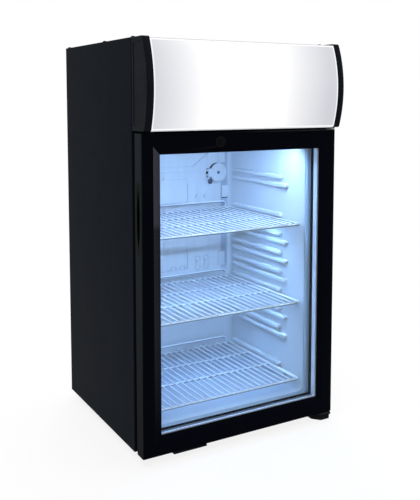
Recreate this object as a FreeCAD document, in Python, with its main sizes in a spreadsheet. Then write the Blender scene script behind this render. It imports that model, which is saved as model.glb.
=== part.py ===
"""Countertop display refrigerator with a lit canopy, a glazed door and three wire shelves.

Millimetres, +Z up, front towards -Y, origin on the counter under the middle of the whole part.
The sheet "Dims" holds the driving sizes, and every sub-part takes its sizes and place from it.
"""
import FreeCAD, Part
import math
import os

from FreeCAD import Placement, Rotation, Vector

# Driving sizes: alias, millimetres (or a count), and what it measures
SIZES = (
    ("body_width", 430, "over both side panels"),
    ("body_depth", 347, "front face of the body to its rear edge"),
    ("body_height", 760, "underside of the base pan to the top cover"),
    ("foot_height", 15, "counter to the base pan"),
    ("sheet_gauge", 1, "steel sheet of the body"),
    ("bend_radius", 1.5, "outer radius of a folded edge"),
    ("front_return", 24, "side panel's fold at the front"),
    ("rear_return", 15, "side panel's fold at the back"),
    ("canopy_height", 165, "underside of the machine deck to the top cover"),
    ("cover_skirt", 14, "fold of the top cover"),
    ("grille_recess", 13, "rear edge of the body to the grille"),
    ("wall_width", 37, "body's side to the liner's mouth"),
    ("opening_floor", 35, "base pan to the liner's floor at the mouth"),
    ("head_width", 23, "liner's ceiling at the mouth to the machine deck"),
    ("rear_wall", 44, "liner's back wall to the body's rear edge"),
    ("liner_wall", 2, "thickness of the liner"),
    ("liner_draft", 3.5, "how far each liner wall leans in at the back"),
    ("liner_corner", 14, "inside corner radius of the liner"),
    ("flange_width", 12, "liner flange around the mouth"),
    ("lip_depth", 9, "thickened lip behind the flange"),
    ("lip_width", 8, "thickened lip outside the mouth"),
    ("lip_radius", 6.5, "rounding of the mouth's edge"),
    ("crease_setback", 6.8, "front face to the step line round the mouth"),
    ("crease_width", 1.8, "step line front to back"),
    ("crease_depth", 1, "step line into the lip"),
    ("rib_reach", 10, "shelf rib out from the mouth's line"),
    ("rib_height", 10, "height of a shelf rib"),
    ("rib_slot", 7, "slot between an upper and a lower rib"),
    ("rib_round", 3.5, "rounding of a rib's inner face"),
    ("rib_head_room", 88.7, "liner's ceiling to the highest upper rib's centre"),
    ("rib_foot_room", 35.3, "liner's floor to the lowest upper rib's centre"),
    ("upper_rib_start", 86, "front face to the front end of an upper rib"),
    ("lower_rib_start", 66, "front face to the front end of a lower rib"),
    ("rib_rear_gap", 21, "back wall to the rear end of a rib"),
    ("rim_wire", 5, "diameter of a shelf's front and side wire"),
    ("cross_wire", 4.5, "diameter of a shelf's cross wire"),
    ("deck_wire", 3, "diameter of a shelf's deck wire"),
    ("wire_sink", 0.4, "depth that welded wires share"),
    ("shelf_side_gap", 5, "mouth's line to the shelf's side"),
    ("shelf_front", 12, "front face to the shelf's front edge"),
    ("shelf_rear_gap", 9, "back wall to the shelf's rear ends"),
    ("shelf_clearance", 0.2, "side wire above its rib"),
    ("shelf_corner", 8, "bend radius of the front corners"),
    ("cross_count", 3, "cross wires behind the front one"),
    ("front_bay", 104, "front wire to the first cross wire"),
    ("wire_margin", 11.8, "shelf's side to the last deck wire"),
    ("wire_count", 23, "deck wires on a shelf"),
    ("shelf_slot_count", 4, "rib slots from one shelf to the next"),
    ("guard_height", 17, "rear guard above the cross wires"),
    ("guard_wire", 4, "diameter of the rear guard"),
    ("guard_margin", 19, "shelf's side to the guard's leg"),
    ("guard_bend", 8, "bend radius of the rear guard"),
    ("plate_margin", 30, "mouth's line to the evaporator plate's edge"),
    ("plate_height", 316, "evaporator plate upright"),
    ("plate_head_gap", 20, "liner's ceiling to the plate's upper edge"),
    ("plate_gauge", 1.5, "evaporator sheet"),
    ("plate_standoff", 1.5, "evaporator plate off the back wall"),
    ("channel_width", 9, "blown channel of the evaporator"),
    ("channel_rise", 1.6, "height of a blown channel"),
    ("loop_count", 3, "channel loops up the plate"),
    ("loop_margin", 82, "plate's edge to a channel loop"),
    ("loop_height", 64, "channel loop upright"),
    ("loop_corner", 12, "outer corner radius of a channel loop"),
    ("island_inset", 6, "channel loop to the island in it"),
    ("crown_margin", 26, "plate's edge to the upper channel"),
    ("crown_height", 56, "upper channel upright"),
    ("crown_slope", 30, "upper channel's sloping corner"),
    ("crown_drop", 10, "plate's upper edge to the upper channel"),
    ("pad_radius", 6, "round pad on the plate"),
    ("pad_margin", 40.5, "plate's edge to the outer pads"),
    ("pad_step", 22.5, "outer pads to the inner pads"),
    ("pad_drop", 11, "middle of a loop to its pads"),
    ("clip_width", 20, "evaporator clip across"),
    ("clip_height", 34, "evaporator clip upright"),
    ("clip_lip", 2, "clip in front of the plate"),
    ("cover_radius", 22, "tube cover"),
    ("cover_inset", 40.5, "mouth's line to the tube cover's centre"),
    ("cover_drop", 94, "liner's ceiling to the tube cover's centre"),
    ("cover_depth", 10, "tube cover off the back wall"),
    ("cover_wall", 2, "tube cover's wall"),
    ("spout_height", 20, "tube cover's spout"),
    ("spout_reach", 28, "tube cover's centre to the spout's end"),
    ("notch_margin", 3, "evaporator notch around the tube cover"),
    ("lamp_margin", 28, "mouth's line to the cabinet lamp's end"),
    ("lamp_front", 24, "front face to the cabinet lamp"),
    ("lamp_depth", 22, "cabinet lamp front to back"),
    ("lamp_base", 5, "cabinet lamp housing"),
    ("lamp_lens", 7, "cabinet lamp lens below its housing"),
    ("canopy_reach", 65, "front face to the canopy's bulge"),
    ("canopy_top_reach", 47, "front face to the canopy's top edge"),
    ("canopy_foot_reach", 52, "front face to the canopy's lower edge"),
    ("cap_width", 14, "canopy end cap"),
    ("cap_wall", 3, "outer wall of an end cap"),
    ("cap_rim", 5, "rim of an end cap"),
    ("cap_inset", 9, "edge of an end cap to its sunk field"),
    ("cap_sink", 0.8, "depth of the sunk field"),
    ("cap_corner", 5, "rounded front corner of an end cap"),
    ("cap_seam", 2.5, "groove between an end cap and the body"),
    ("seam_depth", 2, "depth of that groove"),
    ("canopy_sink", 3, "end cap's top to the tray's upper lip"),
    ("rail_setback", 2.5, "canopy rail behind the caps' edge"),
    ("panel_setback", 1, "canopy panel behind the caps' edge"),
    ("panel_gauge", 2.5, "canopy panel"),
    ("tray_lip", 8, "canopy rail front to back"),
    ("rail_gauge", 2, "canopy rail thickness"),
    ("batten_margin", 35, "body's side to the canopy lamp's end"),
    ("batten_height", 18, "canopy lamp upright"),
    ("batten_base", 5, "canopy lamp batten off the tray"),
    ("door_gap", 11, "body's front face to the door's back"),
    ("door_thickness", 29, "door front to back"),
    ("door_bottom", 1, "base pan to the door's lower edge"),
    ("door_head_gap", 4, "door's upper edge to the canopy"),
    ("rail_width", 38, "door rail, outer edge to glass opening"),
    ("rail_land", 23, "flat front of a door rail"),
    ("rail_slope", 4, "depth of the reveal"),
    ("rail_wall", 3, "wall of a hollow door rail"),
    ("rail_edge", 2, "rounded outer edge of a door rail"),
    ("glass_bite", 8, "glass held inside the rail"),
    ("pane_gauge", 4, "one sheet of glass"),
    ("spacer_depth", 12, "air space between the panes"),
    ("spacer_width", 6, "spacer bar seen from the front"),
    ("gasket_clearance", 0.3, "gasket off the liner's flange"),
    ("gasket_lip", 3, "gasket's thin outer lip"),
    ("gasket_width", 8, "gasket seen from the front"),
    ("gasket_overlap", 5, "gasket onto the side panel's fold"),
    ("gasket_sink", 4, "gasket below the liner's flange"),
    ("handle_length", 130, "handle insert upright"),
    ("handle_width", 17, "handle insert front to back"),
    ("handle_depth", 15, "handle insert into the stile"),
    ("grip_length", 110, "finger recess upright"),
    ("grip_width", 12, "finger recess front to back"),
    ("grip_depth", 12, "finger recess into the stile"),
    ("handle_drop", 152, "door's upper edge to the middle of the handle"),
    ("pin_inset", 23, "door's edge to the hinge pin"),
    ("pin_setback", 28, "body's front face to the hinge pin"),
    ("pin_radius", 4, "hinge pin"),
    ("pin_reach", 12, "hinge pin inside the door"),
    ("pin_clearance", 0.06, "running fit of the hinge pin"),
    ("bush_radius", 6, "hinge bush"),
    ("bush_length", 14, "hinge bush"),
    ("hinge_gauge", 3, "hinge plate"),
    ("hinge_half_width", 21, "hinge plate across, from the pin"),
    ("hinge_nose", 17, "hinge plate in front of the pin"),
    ("hinge_tail", 26, "lower hinge plate under the base pan"),
    ("hinge_cap_depth", 9, "cap under the lower hinge plate"),
    ("hinge_cap_corner", 4, "corner radius of the hinge cap"),
    ("hinge_cap_inset", 2, "hinge plate's edge to its cap"),
    ("hinge_corner", 7, "corner radius of a hinge plate's nose"),
    ("lock_across", -55, "middle of the door to the lock"),
    ("lock_drop", 18, "door's upper edge to the lock"),
    ("lock_radius", 9, "lock barrel"),
    ("lock_collar", 11, "lock collar on the rail"),
    ("lock_collar_rise", 1.5, "lock collar off the rail"),
    ("plug_radius", 6, "turning plug"),
    ("plug_clearance", 0.05, "running fit of the plug"),
    ("plug_rise", 1, "plug past the collar"),
    ("barrel_length", 9, "lock barrel into the rail"),
    ("key_slot", 1.6, "width of the key slot"),
    ("cam_gauge", 2.5, "lock cam"),
    ("cam_width", 10, "lock cam across"),
    ("cam_reach", 23, "lock's centre to the cam's end"),
    ("cam_clearance", 1, "room round the cam"),
    ("foot_radius", 16, "foot at the counter"),
    ("foot_taper", 4, "foot narrower at the top"),
    ("foot_inset", 55, "body's side to the middle of a foot"),
    ("foot_setback", 60, "front face to a front foot"),
    ("foot_rear_inset", 45, "rear edge to a rear foot"),
    ("rest_gauge", 3.5, "door rest plate"),
    ("rest_inset", 62, "body's left side to the door rest plate"),
    ("rest_width", 70, "door rest plate across"),
    ("rest_reach", 39, "door rest plate in front of the body"),
    ("rest_tail", 30, "door rest plate under the base pan"),
    ("screw_head", 4, "cover screw's head radius"),
    ("screw_rise", 2.8, "cover screw's head height"),
    ("screw_shank", 1.9, "cover screw's shank radius"),
    ("screw_length", 8, "cover screw under the sheet"),
    ("screw_inset", 6, "cover screw from the cover's side"),
    ("compressor_inset", 115, "body's right side to the middle of the compressor"),
    ("compressor_rear", 157, "body's rear edge to the middle of the compressor"),
    ("compressor_radius", 56, "compressor shell"),
    ("compressor_height", 118, "compressor shell upright"),
    ("compressor_seam", 3, "weld flange of the shell"),
    ("foot_plate_width", 164, "compressor's foot plate"),
    ("foot_plate_depth", 104, "compressor's foot plate"),
    ("foot_plate_gauge", 3, "compressor's foot plate"),
    ("foot_plate_corner", 10, "corner radius of the foot plate"),
    ("grommet_radius", 9, "rubber mount"),
    ("grommet_height", 12, "rubber mount"),
    ("grommet_inset", 14, "rubber mount from the foot plate's edges"),
    ("coil_inset", 25, "body's left side to the condenser"),
    ("coil_width", 120, "condenser across"),
    ("coil_rear", 59, "body's rear edge to the condenser's front"),
    ("coil_depth", 36, "condenser front to back"),
    ("coil_height", 140, "condenser upright"),
    ("fin_gauge", 0.8, "condenser fin"),
    ("fin_pitch", 6, "fin to fin"),
    ("coil_tube", 7, "condenser tube diameter"),
    ("coil_rows", 6, "tube runs in the condenser"),
    ("coil_stub", 20, "tube end past the fin block"),
    ("tube_clearance", 0.05, "tube in its fin hole"),
    ("fan_radius", 48, "fan blade tip"),
    ("fan_clearance", 4, "tip to the shroud's opening"),
    ("hub_radius", 15, "fan hub"),
    ("hub_depth", 14, "fan hub front to back"),
    ("blade_count", 5, "fan blades"),
    ("blade_gauge", 1.4, "fan blade"),
    ("blade_chord", 28.5, "fan blade across"),
    ("blade_pitch", 24, "degrees between a blade and the fan's disc"),
    ("blade_sink", 3, "blade's root inside the hub"),
    ("shroud_gauge", 2, "fan shroud sheet"),
    ("bridge_depth", 34, "motor bridge in front of the shroud"),
    ("bridge_height", 16, "motor bridge upright"),
    ("motor_radius", 22, "fan motor"),
    ("motor_depth", 34, "fan motor front to back"),
    ("shaft_radius", 2.5, "fan shaft"),
    ("drier_radius", 8, "filter drier"),
    ("drier_length", 80, "filter drier"),
    ("drier_gap", 28, "discharge line's riser to the middle of the filter drier"),
    ("line_diameter", 6, "refrigerant line"),
    ("capillary_diameter", 2.6, "capillary tube"),
    ("line_bend", 14, "bend radius of the refrigerant lines"),
    ("line_elbow", 8.4, "tighter bend of the suction and discharge lines"),
    ("capillary_bend", 7, "bend radius of the capillary tube"),
    ("line_gap", 0.6, "refrigerant line off its neighbour"),
    ("capillary_swing", 10, "capillary's step back from the drier"),
    ("duct_radius", 11, "bore for the lines in the foam"),
    ("vent_width", 44, "grille slot"),
    ("vent_height", 5, "grille slot"),
    ("vent_pitch", 12, "slot to slot upwards"),
    ("vent_columns", 4, "grille slots across"),
    ("vent_rows", 9, "grille slots upwards"),
    ("knob_radius", 13, "thermostat knob"),
    ("knob_depth", 11, "thermostat knob"),
    ("knob_inset", 37, "body's right side to the controls"),
    ("knob_drop", 42, "top cover to the thermostat"),
    ("stem_radius", 3, "thermostat stem"),
    ("thermostat_width", 36, "thermostat body"),
    ("thermostat_depth", 24, "thermostat body"),
    ("switch_drop", 98, "top cover to the light switch"),
    ("switch_width", 15, "light switch opening"),
    ("switch_height", 21, "light switch opening"),
    ("switch_bezel", 3, "light switch bezel"),
    ("switch_depth", 18, "light switch body"),
    ("rocker_tilt", 10, "degrees between the rocker's faces"),
    ("rocker_clearance", 0.4, "rocker in its bezel"),
    ("rocker_margin", 1, "rocker short of its room at each end"),
    ("gland_drop", 138, "top cover to the cord gland"),
    ("gland_radius", 9, "cord gland"),
    ("gland_bore", 4, "cord gland's bore"),
    ("gland_depth", 8, "cord gland"),
)

UP = Rotation()
FRONTWARD = Rotation(Vector(1, 0, 0), Vector(0, 0, 1), Vector(0, -1, 0), "XYZ")
SIDEWARD = Rotation(Vector(0, 1, 0), Vector(0, 0, 1), Vector(1, 0, 0), "XYZ")
SKIPPED_SLOTS = (1, 9)
LAST_SLOT = 10
SHELF_NAMES = ("lower", "middle", "upper")


class Length:
    """A size together with the sheet expression that gives it."""

    def __init__(self, text, value):
        self.text = text
        self.value = float(value)

    @staticmethod
    def of(other):
        if isinstance(other, Length):
            return other
        return Length(f"({float(other):g})", other)

    def __float__(self):
        return self.value

    def __int__(self):
        return int(round(self.value))

    def __add__(self, other):
        other = Length.of(other)
        return Length(f"({self.text} + {other.text})", self.value + other.value)

    def __sub__(self, other):
        other = Length.of(other)
        return Length(f"({self.text} - {other.text})", self.value - other.value)

    def __mul__(self, factor):
        factor = Length.of(factor)
        return Length(f"({self.text} * {factor.text})", self.value * factor.value)

    def __truediv__(self, divisor):
        divisor = Length.of(divisor)
        return Length(f"({self.text} / {divisor.text})", self.value / divisor.value)

    def __neg__(self):
        return Length(f"(0 - {self.text})", -self.value)

    __radd__ = __add__
    __rmul__ = __mul__

    def __rsub__(self, other):
        return Length.of(other) - self


class Sizes:
    """The sheet's aliases as lengths."""


doc = FreeCAD.newDocument("DisplayRefrigerator")
sheet = doc.addObject("Spreadsheet::Sheet", "Dims")
dim = Sizes()
for row, (alias, amount, note) in enumerate(SIZES, 1):
    sheet.set(f"A{row}", alias)
    sheet.set(f"B{row}", str(amount))
    sheet.setAlias(f"B{row}", alias)
    sheet.set(f"C{row}", note)
    setattr(dim, alias, Length(f"Dims.{alias}", amount))
doc.recompute()

parts = {}

# Shared lines of the body
half_width = dim.body_width / 2
inner_half = half_width - dim.sheet_gauge
return_line = inner_half - dim.front_return
half_opening = half_width - dim.wall_width
front = (dim.canopy_reach - dim.body_depth) / 2
rear = front + dim.body_depth
base = dim.foot_height
top = base + dim.body_height
deck_level = dim.body_height - dim.canopy_height
deck = base + deck_level
deck_top = deck + dim.sheet_gauge
liner_depth = dim.body_depth - dim.rear_wall
back_wall = front + liner_depth
opening_ceiling = deck_level - dim.head_width
rib_first = dim.opening_floor + dim.rib_foot_room
rib_pitch = (opening_ceiling - dim.rib_head_room - rib_first) / LAST_SLOT
duct_setback = dim.body_depth - dim.rear_wall / 2 - dim.sheet_gauge
cover_across = half_opening - dim.cover_inset
cover_level = opening_ceiling - dim.cover_drop
coil_left = dim.coil_inset - half_width
coil_end = coil_left + dim.coil_width + dim.coil_stub
riser_across = coil_end + dim.line_bend * 2
drier_across = riser_across + dim.drier_gap
control_across = half_width - dim.knob_inset
compressor_across = half_width - dim.compressor_inset
compressor_setback = dim.body_depth - dim.compressor_rear


def behind(distance):
    """Depth measured back from the body's front face."""
    return front + distance


def above(height):
    """Level measured up from the base pan's underside."""
    return base + height


# Ways of making a document object from lengths

def bind(item, **properties):
    for name, length in properties.items():
        item.setExpression(name, Length.of(length).text)


def place(item, x, y, z, turn=UP):
    item.Placement = Placement(Vector(float(x), float(y), float(z)), turn)
    for axis, length in zip("xyz", (x, y, z)):
        item.setExpression(f"Placement.Base.{axis}", Length.of(length).text)
    return item


def publish(label, item):
    item.Label = label
    parts[label] = item
    return item


def block(name, across, along, upright):
    """A box between two lengths on each axis."""
    item = doc.addObject("Part::Box", name)
    bind(item, Length=across[1] - across[0], Width=along[1] - along[0], Height=upright[1] - upright[0])
    return place(item, across[0], along[0], upright[0])


def rod(name, turn, x, y, z, radius, length):
    """A cylinder from a point, up, towards the front or sideways."""
    item = doc.addObject("Part::Cylinder", name)
    bind(item, Radius=radius, Height=length)
    return place(item, x, y, z, turn)


def cone(name, x, y, z, lower, upper, height):
    item = doc.addObject("Part::Cone", name)
    bind(item, Radius1=lower, Radius2=upper, Height=height)
    return place(item, x, y, z)


def fuse(name, *items):
    item = doc.addObject("Part::MultiFuse", name)
    item.Shapes = list(items)
    item.Refine = True
    return item


def cut(name, body, *tools):
    item = doc.addObject("Part::Cut", name)
    item.Base = body
    item.Tool = tools[0] if len(tools) == 1 else fuse(name + "_tools", *tools)
    return item


def common(name, first, second):
    item = doc.addObject("Part::Common", name)
    item.Base = first
    item.Tool = second
    return item


def coded(name, shape):
    """A piece whose shape is worked out here from the sheet's sizes."""
    item = doc.addObject("Part::Feature", name)
    item.Shape = shape
    return item


def rounded(name, solid, edge_test, radius):
    """A solid with a fillet on each edge that the test picks."""
    doc.recompute()
    item = doc.addObject("Part::Fillet", name)
    item.Base = solid
    picked = [number for number, edge in enumerate(solid.Shape.Edges, 1) if edge_test(edge)]
    item.Edges = [(number, float(radius), float(radius)) for number in picked]
    return item


def corner_arc(before, corner, after, radius):
    """The tangent arc that rounds a corner, as its two ends and its middle."""
    toward = (before - corner).normalize()
    away = (after - corner).normalize()
    half = toward.getAngle(away) / 2
    reach = radius / math.tan(half)
    middle_line = (toward + away).normalize()
    centre = corner + middle_line * (radius / math.sin(half))
    return corner + toward * reach, centre - middle_line * radius, corner + away * reach


def outline_edges(points):
    """Closed outline of lines, with an arc at each point that carries a radius.

    A point is (u, v), (u, v, radius), or ("via", u, v) for the middle of a three-point arc.
    """
    corners = [tuple(point) for point in points]
    count = len(corners)
    spots = []
    for corner in corners:
        offset = 1 if corner[0] == "via" else 0
        spots.append(Vector(float(corner[offset]), float(corner[offset + 1]), 0))
    starts = {}
    ends = {}
    edges = []
    for number, corner in enumerate(corners):
        starts[number] = spots[number]
        ends[number] = spots[number]
        if corner[0] != "via" and len(corner) == 3 and float(corner[2]) > 0:
            arc = corner_arc(spots[number - 1], spots[number], spots[(number + 1) % count], float(corner[2]))
            ends[number] = arc[0]
            starts[number] = arc[2]
            edges.append(Part.Arc(*arc))
    for number, corner in enumerate(corners):
        if corner[0] == "via":
            continue
        following = (number + 1) % count
        if corners[following][0] == "via":
            last = (number + 2) % count
            edges.append(Part.Arc(starts[number], spots[following], ends[last]))
        elif (ends[following] - starts[number]).Length > 1e-6:
            edges.append(Part.LineSegment(starts[number], ends[following]))
    return edges


def sketch_on(body, role, name, loops, height=None):
    """A sketch of closed loops on one of the body's own planes, lifted by a height."""
    sketch = body.newObject("Sketcher::SketchObject", name)
    plane = [item for item in body.Origin.OriginFeatures if item.Role == role][0]
    sketch.AttachmentSupport = [(plane, "")]
    sketch.MapMode = "FlatFace"
    if height is not None:
        sketch.setExpression("AttachmentOffset.Base.z", Length.of(height).text)
    for loop in loops:
        for edge in loop:
            sketch.addGeometry(edge, False)
    return sketch


def extrusion(name, loops, length, turn, x, y, z):
    """A padded sketch: its outline, then any holes, as a body placed in the part."""
    body = doc.addObject("PartDesign::Body", name)
    sketch = sketch_on(body, "XY_Plane", name + "_outline", loops)
    pad = body.newObject("PartDesign::Pad", name + "_pad")
    pad.Profile = sketch
    bind(pad, Length=length)
    place(body, x, y, z, turn)
    return body


def pocketed(body, name, loops, height, depth):
    """A pocket cut down into a body from a level above its first sketch."""
    doc.recompute()
    volume = body.Shape.Volume
    sketch = sketch_on(body, "XY_Plane", name + "_outline", loops, height)
    pocket = body.newObject("PartDesign::Pocket", name)
    pocket.Profile = sketch
    bind(pocket, Length=depth)
    doc.recompute()
    if body.Shape.Volume >= volume:
        raise RuntimeError(f"pocket {name} cut nothing")
    return body


def revolved(name, profile, x, y, z, turn=UP):
    """A turned piece from an outline of radius and height."""
    body = doc.addObject("PartDesign::Body", name)
    sketch = sketch_on(body, "XZ_Plane", name + "_profile", [outline_edges(profile)])
    turned = body.newObject("PartDesign::Revolution", name + "_turned")
    turned.Profile = sketch
    turned.ReferenceAxis = (sketch, ["V_Axis"])
    turned.Angle = 360.0
    place(body, x, y, z, turn)
    return body


def bent_path(points, radius):
    """Straight runs joined by tangent arcs."""
    spots = [Vector(*[float(value) for value in point]) for point in points]
    edges = []
    start = spots[0]
    for before, corner, after in zip(spots, spots[1:], spots[2:]):
        arc = corner_arc(before, corner, after, float(radius))
        edges.append(Part.LineSegment(start, arc[0]).toShape())
        edges.append(Part.Arc(*arc).toShape())
        start = arc[2]
    edges.append(Part.LineSegment(start, spots[-1]).toShape())
    return Part.Wire(edges)


def wire_solid(points, bend, diameter):
    """A round wire along a bent path."""
    path = bent_path(points, bend)
    first = path.Edges[0]
    start = first.valueAt(first.FirstParameter)
    heading = first.tangentAt(first.FirstParameter)
    ring = Part.Wire(Part.Circle(start, heading, float(diameter) / 2).toShape())
    solid = path.makePipeShell([ring], True, False)
    expected = math.pi * (float(diameter) / 2) ** 2 * path.Length
    if abs(solid.Volume - expected) > 0.02 * expected:
        raise RuntimeError("a bent wire lost its section")
    return solid


# Steel body

def side_panel(label, side):
    """C-section side with folds behind the door and round the back."""
    outer = half_width
    inner = inner_half
    rear_line = inner_half - dim.rear_return
    depth = dim.body_depth
    gauge = dim.sheet_gauge
    section = [
        (side * return_line, 0), (side * outer, 0, dim.bend_radius),
        (side * outer, depth, dim.bend_radius), (side * rear_line, depth),
        (side * rear_line, depth - gauge), (side * inner, depth - gauge),
        (side * inner, gauge), (side * return_line, gauge),
    ]
    return publish(label, extrusion(label, [outline_edges(section)], dim.body_height, UP, 0, front, base))


def body_sheets():
    side_panel("side_panel_left", -1)
    side_panel("side_panel_right", 1)
    gauge = dim.sheet_gauge
    inner_depth = dim.body_depth - 2 * gauge
    skirt = dim.cover_skirt
    cover_section = [
        (0, 0), (inner_depth, 0), (inner_depth, -skirt), (inner_depth - gauge, -skirt),
        (inner_depth - gauge, -gauge), (gauge, -gauge), (gauge, -skirt), (0, -skirt),
    ]
    cover_width = inner_half * 2
    cover = extrusion("cover_blank", [outline_edges(cover_section)], cover_width, SIDEWARD,
                      -inner_half, behind(gauge), top)
    holes = []
    for name, x, y in screw_spots():
        holes.append(rod("hole_" + name, UP, x, y, top - 2 * gauge, dim.screw_shank, 3 * gauge))
    publish("top_cover", cut("top_cover", cover, *holes))
    back_face = rear - gauge
    publish("back_panel", block("back_panel", (-inner_half, inner_half), (back_face - gauge, back_face),
                                (base + gauge, deck)))
    pan_floor = block("pan_floor", (-inner_half, inner_half), (front + gauge, back_face),
                      (base, base + gauge))
    pan_lip = block("pan_lip", (-return_line, return_line), (front, front + gauge),
                    (base, above(dim.opening_floor) - dim.flange_width))
    publish("base_pan", fuse("base_pan", pan_floor, pan_lip))
    deck_floor = block("deck_floor", (-inner_half, inner_half), (front + gauge, back_face), (deck, deck_top))
    deck_lip = block("deck_lip", (-return_line, return_line), (front, front + gauge),
                     (above(opening_ceiling) + dim.flange_width, deck_top))
    duct = rod("deck_duct", UP, cover_across, behind(duct_setback), deck - gauge, dim.duct_radius,
               3 * gauge)
    publish("machine_deck", cut("machine_deck", fuse("deck_sheet", deck_floor, deck_lip), duct))


def screw_spots():
    """Cover screws near the cover's corners."""
    spots = []
    for side_name, side in (("left", -1), ("right", 1)):
        for end_name, y in (("front", behind(dim.screw_inset)), ("mid", behind(dim.body_depth * 0.4)),
                            ("rear", rear - dim.screw_inset)):
            spots.append((f"{side_name}_{end_name}", side * (inner_half - dim.screw_inset), y))
    return spots


def cover_screws():
    shanks = []
    for name, x, y in screw_spots():
        head = revolved("head_" + name, [
            (0, 0), (dim.screw_head, 0), (dim.screw_head, dim.screw_rise * 0.4),
            ("via", dim.screw_head * 0.75, dim.screw_rise * 0.86), (dim.screw_head * 0.4, dim.screw_rise),
            (0, dim.screw_rise)], x, y, top)
        shank = rod("shank_" + name, UP, x, y, top - dim.screw_length, dim.screw_shank, dim.screw_length)
        shanks.append(fuse("screw_" + name, head, shank))
    group = doc.addObject("Part::Compound", "cover_screws")
    group.Links = shanks
    publish("cover_screws", group)


# Moulded liner and foam

def tapered_box(name, grow):
    """Box that narrows towards the back wall, grown outwards by a wall."""
    item = doc.addObject("Part::Wedge", name)
    wide = half_opening + grow
    lean = wide - dim.liner_draft
    low = dim.opening_floor - grow
    high = opening_ceiling + grow
    bind(item, Xmin=-wide, Xmax=wide, X2min=-lean, X2max=lean,
         Zmin=low, Zmax=high, Z2min=low + dim.liner_draft, Z2max=high - dim.liner_draft,
         Ymin=0, Ymax=liner_depth + grow)
    place(item, 0, front, base)
    mouth = float(front) + 1e-3
    edges = lambda edge: any(vertex.Point.y > mouth for vertex in edge.Vertexes)
    return rounded(name + "_soft", item, edges, dim.liner_corner + grow)


def shelf_ribs():
    """Rib pairs that the shelf ends slide between, on both walls."""
    shapes = []
    wall = half_opening + dim.liner_wall
    face = half_opening - dim.rib_reach
    rear_end = float(liner_depth - dim.rib_rear_gap)
    half = float(dim.rib_height) / 2
    lower_step = float(dim.rib_height + dim.rib_slot)
    for slot in range(LAST_SLOT + 1):
        if slot in SKIPPED_SLOTS:
            continue
        upper = float(rib_first) + slot * float(rib_pitch)
        for start, level in ((dim.upper_rib_start, upper), (dim.lower_rib_start, upper - lower_step)):
            nose = float(start) + half
            tail = rear_end - half
            edges = [
                Part.LineSegment(Vector(0, nose, level - half), Vector(0, tail, level - half)),
                Part.Arc(Vector(0, tail, level - half), Vector(0, rear_end, level),
                         Vector(0, tail, level + half)),
                Part.LineSegment(Vector(0, tail, level + half), Vector(0, nose, level + half)),
                Part.Arc(Vector(0, nose, level + half), Vector(0, float(start), level),
                         Vector(0, nose, level - half)),
            ]
            face_shape = Part.Face(Part.Wire([edge.toShape() for edge in edges]))
            rib = face_shape.extrude(Vector(float(wall - face), 0, 0))
            inner = [edge for edge in rib.Edges if edge.BoundBox.XMax < 1e-6]
            rib = rib.makeFillet(float(dim.rib_round), inner)
            rib.translate(Vector(float(face), 0, 0))
            shapes.append(rib)
            shapes.append(rib.mirror(Vector(0, 0, 0), Vector(1, 0, 0)))
    return place(coded("shelf_ribs", Part.makeCompound(shapes)), 0, front, base)


def liner_and_foam():
    gauge = dim.sheet_gauge
    wall = dim.liner_wall
    skin = tapered_box("liner_skin", wall)
    cavity = tapered_box("liner_cavity", Length.of(0))
    void = cut("liner_void", cavity, shelf_ribs())
    low = above(dim.opening_floor)
    high = above(opening_ceiling)
    flange = block("liner_flange", (-return_line, return_line), (front, front + wall),
                   (low - dim.flange_width, high + dim.flange_width))
    lip_line = half_opening + dim.lip_width
    lip = block("liner_lip", (-lip_line, lip_line), (front, behind(dim.lip_depth)),
                (low - dim.lip_width, high + dim.lip_width))
    duct = rod("liner_duct", FRONTWARD, cover_across, behind(duct_setback), above(cover_level),
               dim.duct_radius, duct_setback - liner_depth + wall)
    crease_near = behind(dim.crease_setback)
    crease_band = block("crease_band", (-lip_line, lip_line), (crease_near, crease_near + dim.crease_width),
                        (low - dim.lip_width, high + dim.lip_width))
    crease = common("mouth_crease", tapered_box("crease_room", dim.crease_depth), crease_band)
    raw = cut("liner_raw", fuse("liner_blank", skin, flange, lip), void, duct, crease)
    mouth_y = float(front)
    reach_x = float(half_opening) + 0.01
    floor_z = float(low) - 0.01
    ceiling_z = float(high) + 0.01

    def at_mouth(edge):
        box = edge.BoundBox
        on_face = abs(box.YMin - mouth_y) < 1e-3 and abs(box.YMax - mouth_y) < 1e-3
        inside = box.XMax < reach_x and box.XMin > -reach_x and box.ZMin > floor_z and box.ZMax < ceiling_z
        return on_face and inside

    publish("inner_liner", rounded("inner_liner", raw, at_mouth, dim.lip_radius))
    bulk = block("foam_bulk", (-inner_half, inner_half), (front + wall, rear - 2 * gauge),
                 (base + gauge, deck))
    lip_room = block("foam_lip_room", (-lip_line, lip_line), (front, behind(dim.lip_depth)),
                     (low - dim.lip_width, high + dim.lip_width))
    riser = rod("foam_riser", UP, cover_across, behind(duct_setback), above(cover_level),
                dim.duct_radius, deck - above(cover_level) + gauge)
    elbow = doc.addObject("Part::Sphere", "foam_elbow")
    bind(elbow, Radius=dim.duct_radius)
    place(elbow, cover_across, behind(duct_setback), above(cover_level))
    passage = rod("foam_passage", FRONTWARD, cover_across, behind(duct_setback), above(cover_level),
                  dim.duct_radius, duct_setback - liner_depth)
    publish("foam_insulation", cut("foam_insulation", bulk, skin, lip_room, riser, elbow, passage))


# Cold side

def soft_rectangle(half_across, half_up, radius, level):
    """Outline of a rectangle with round corners about a level."""
    return outline_edges([
        (-half_across, level - half_up, radius), (half_across, level - half_up, radius),
        (half_across, level + half_up, radius), (-half_across, level + half_up, radius),
    ])


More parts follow.
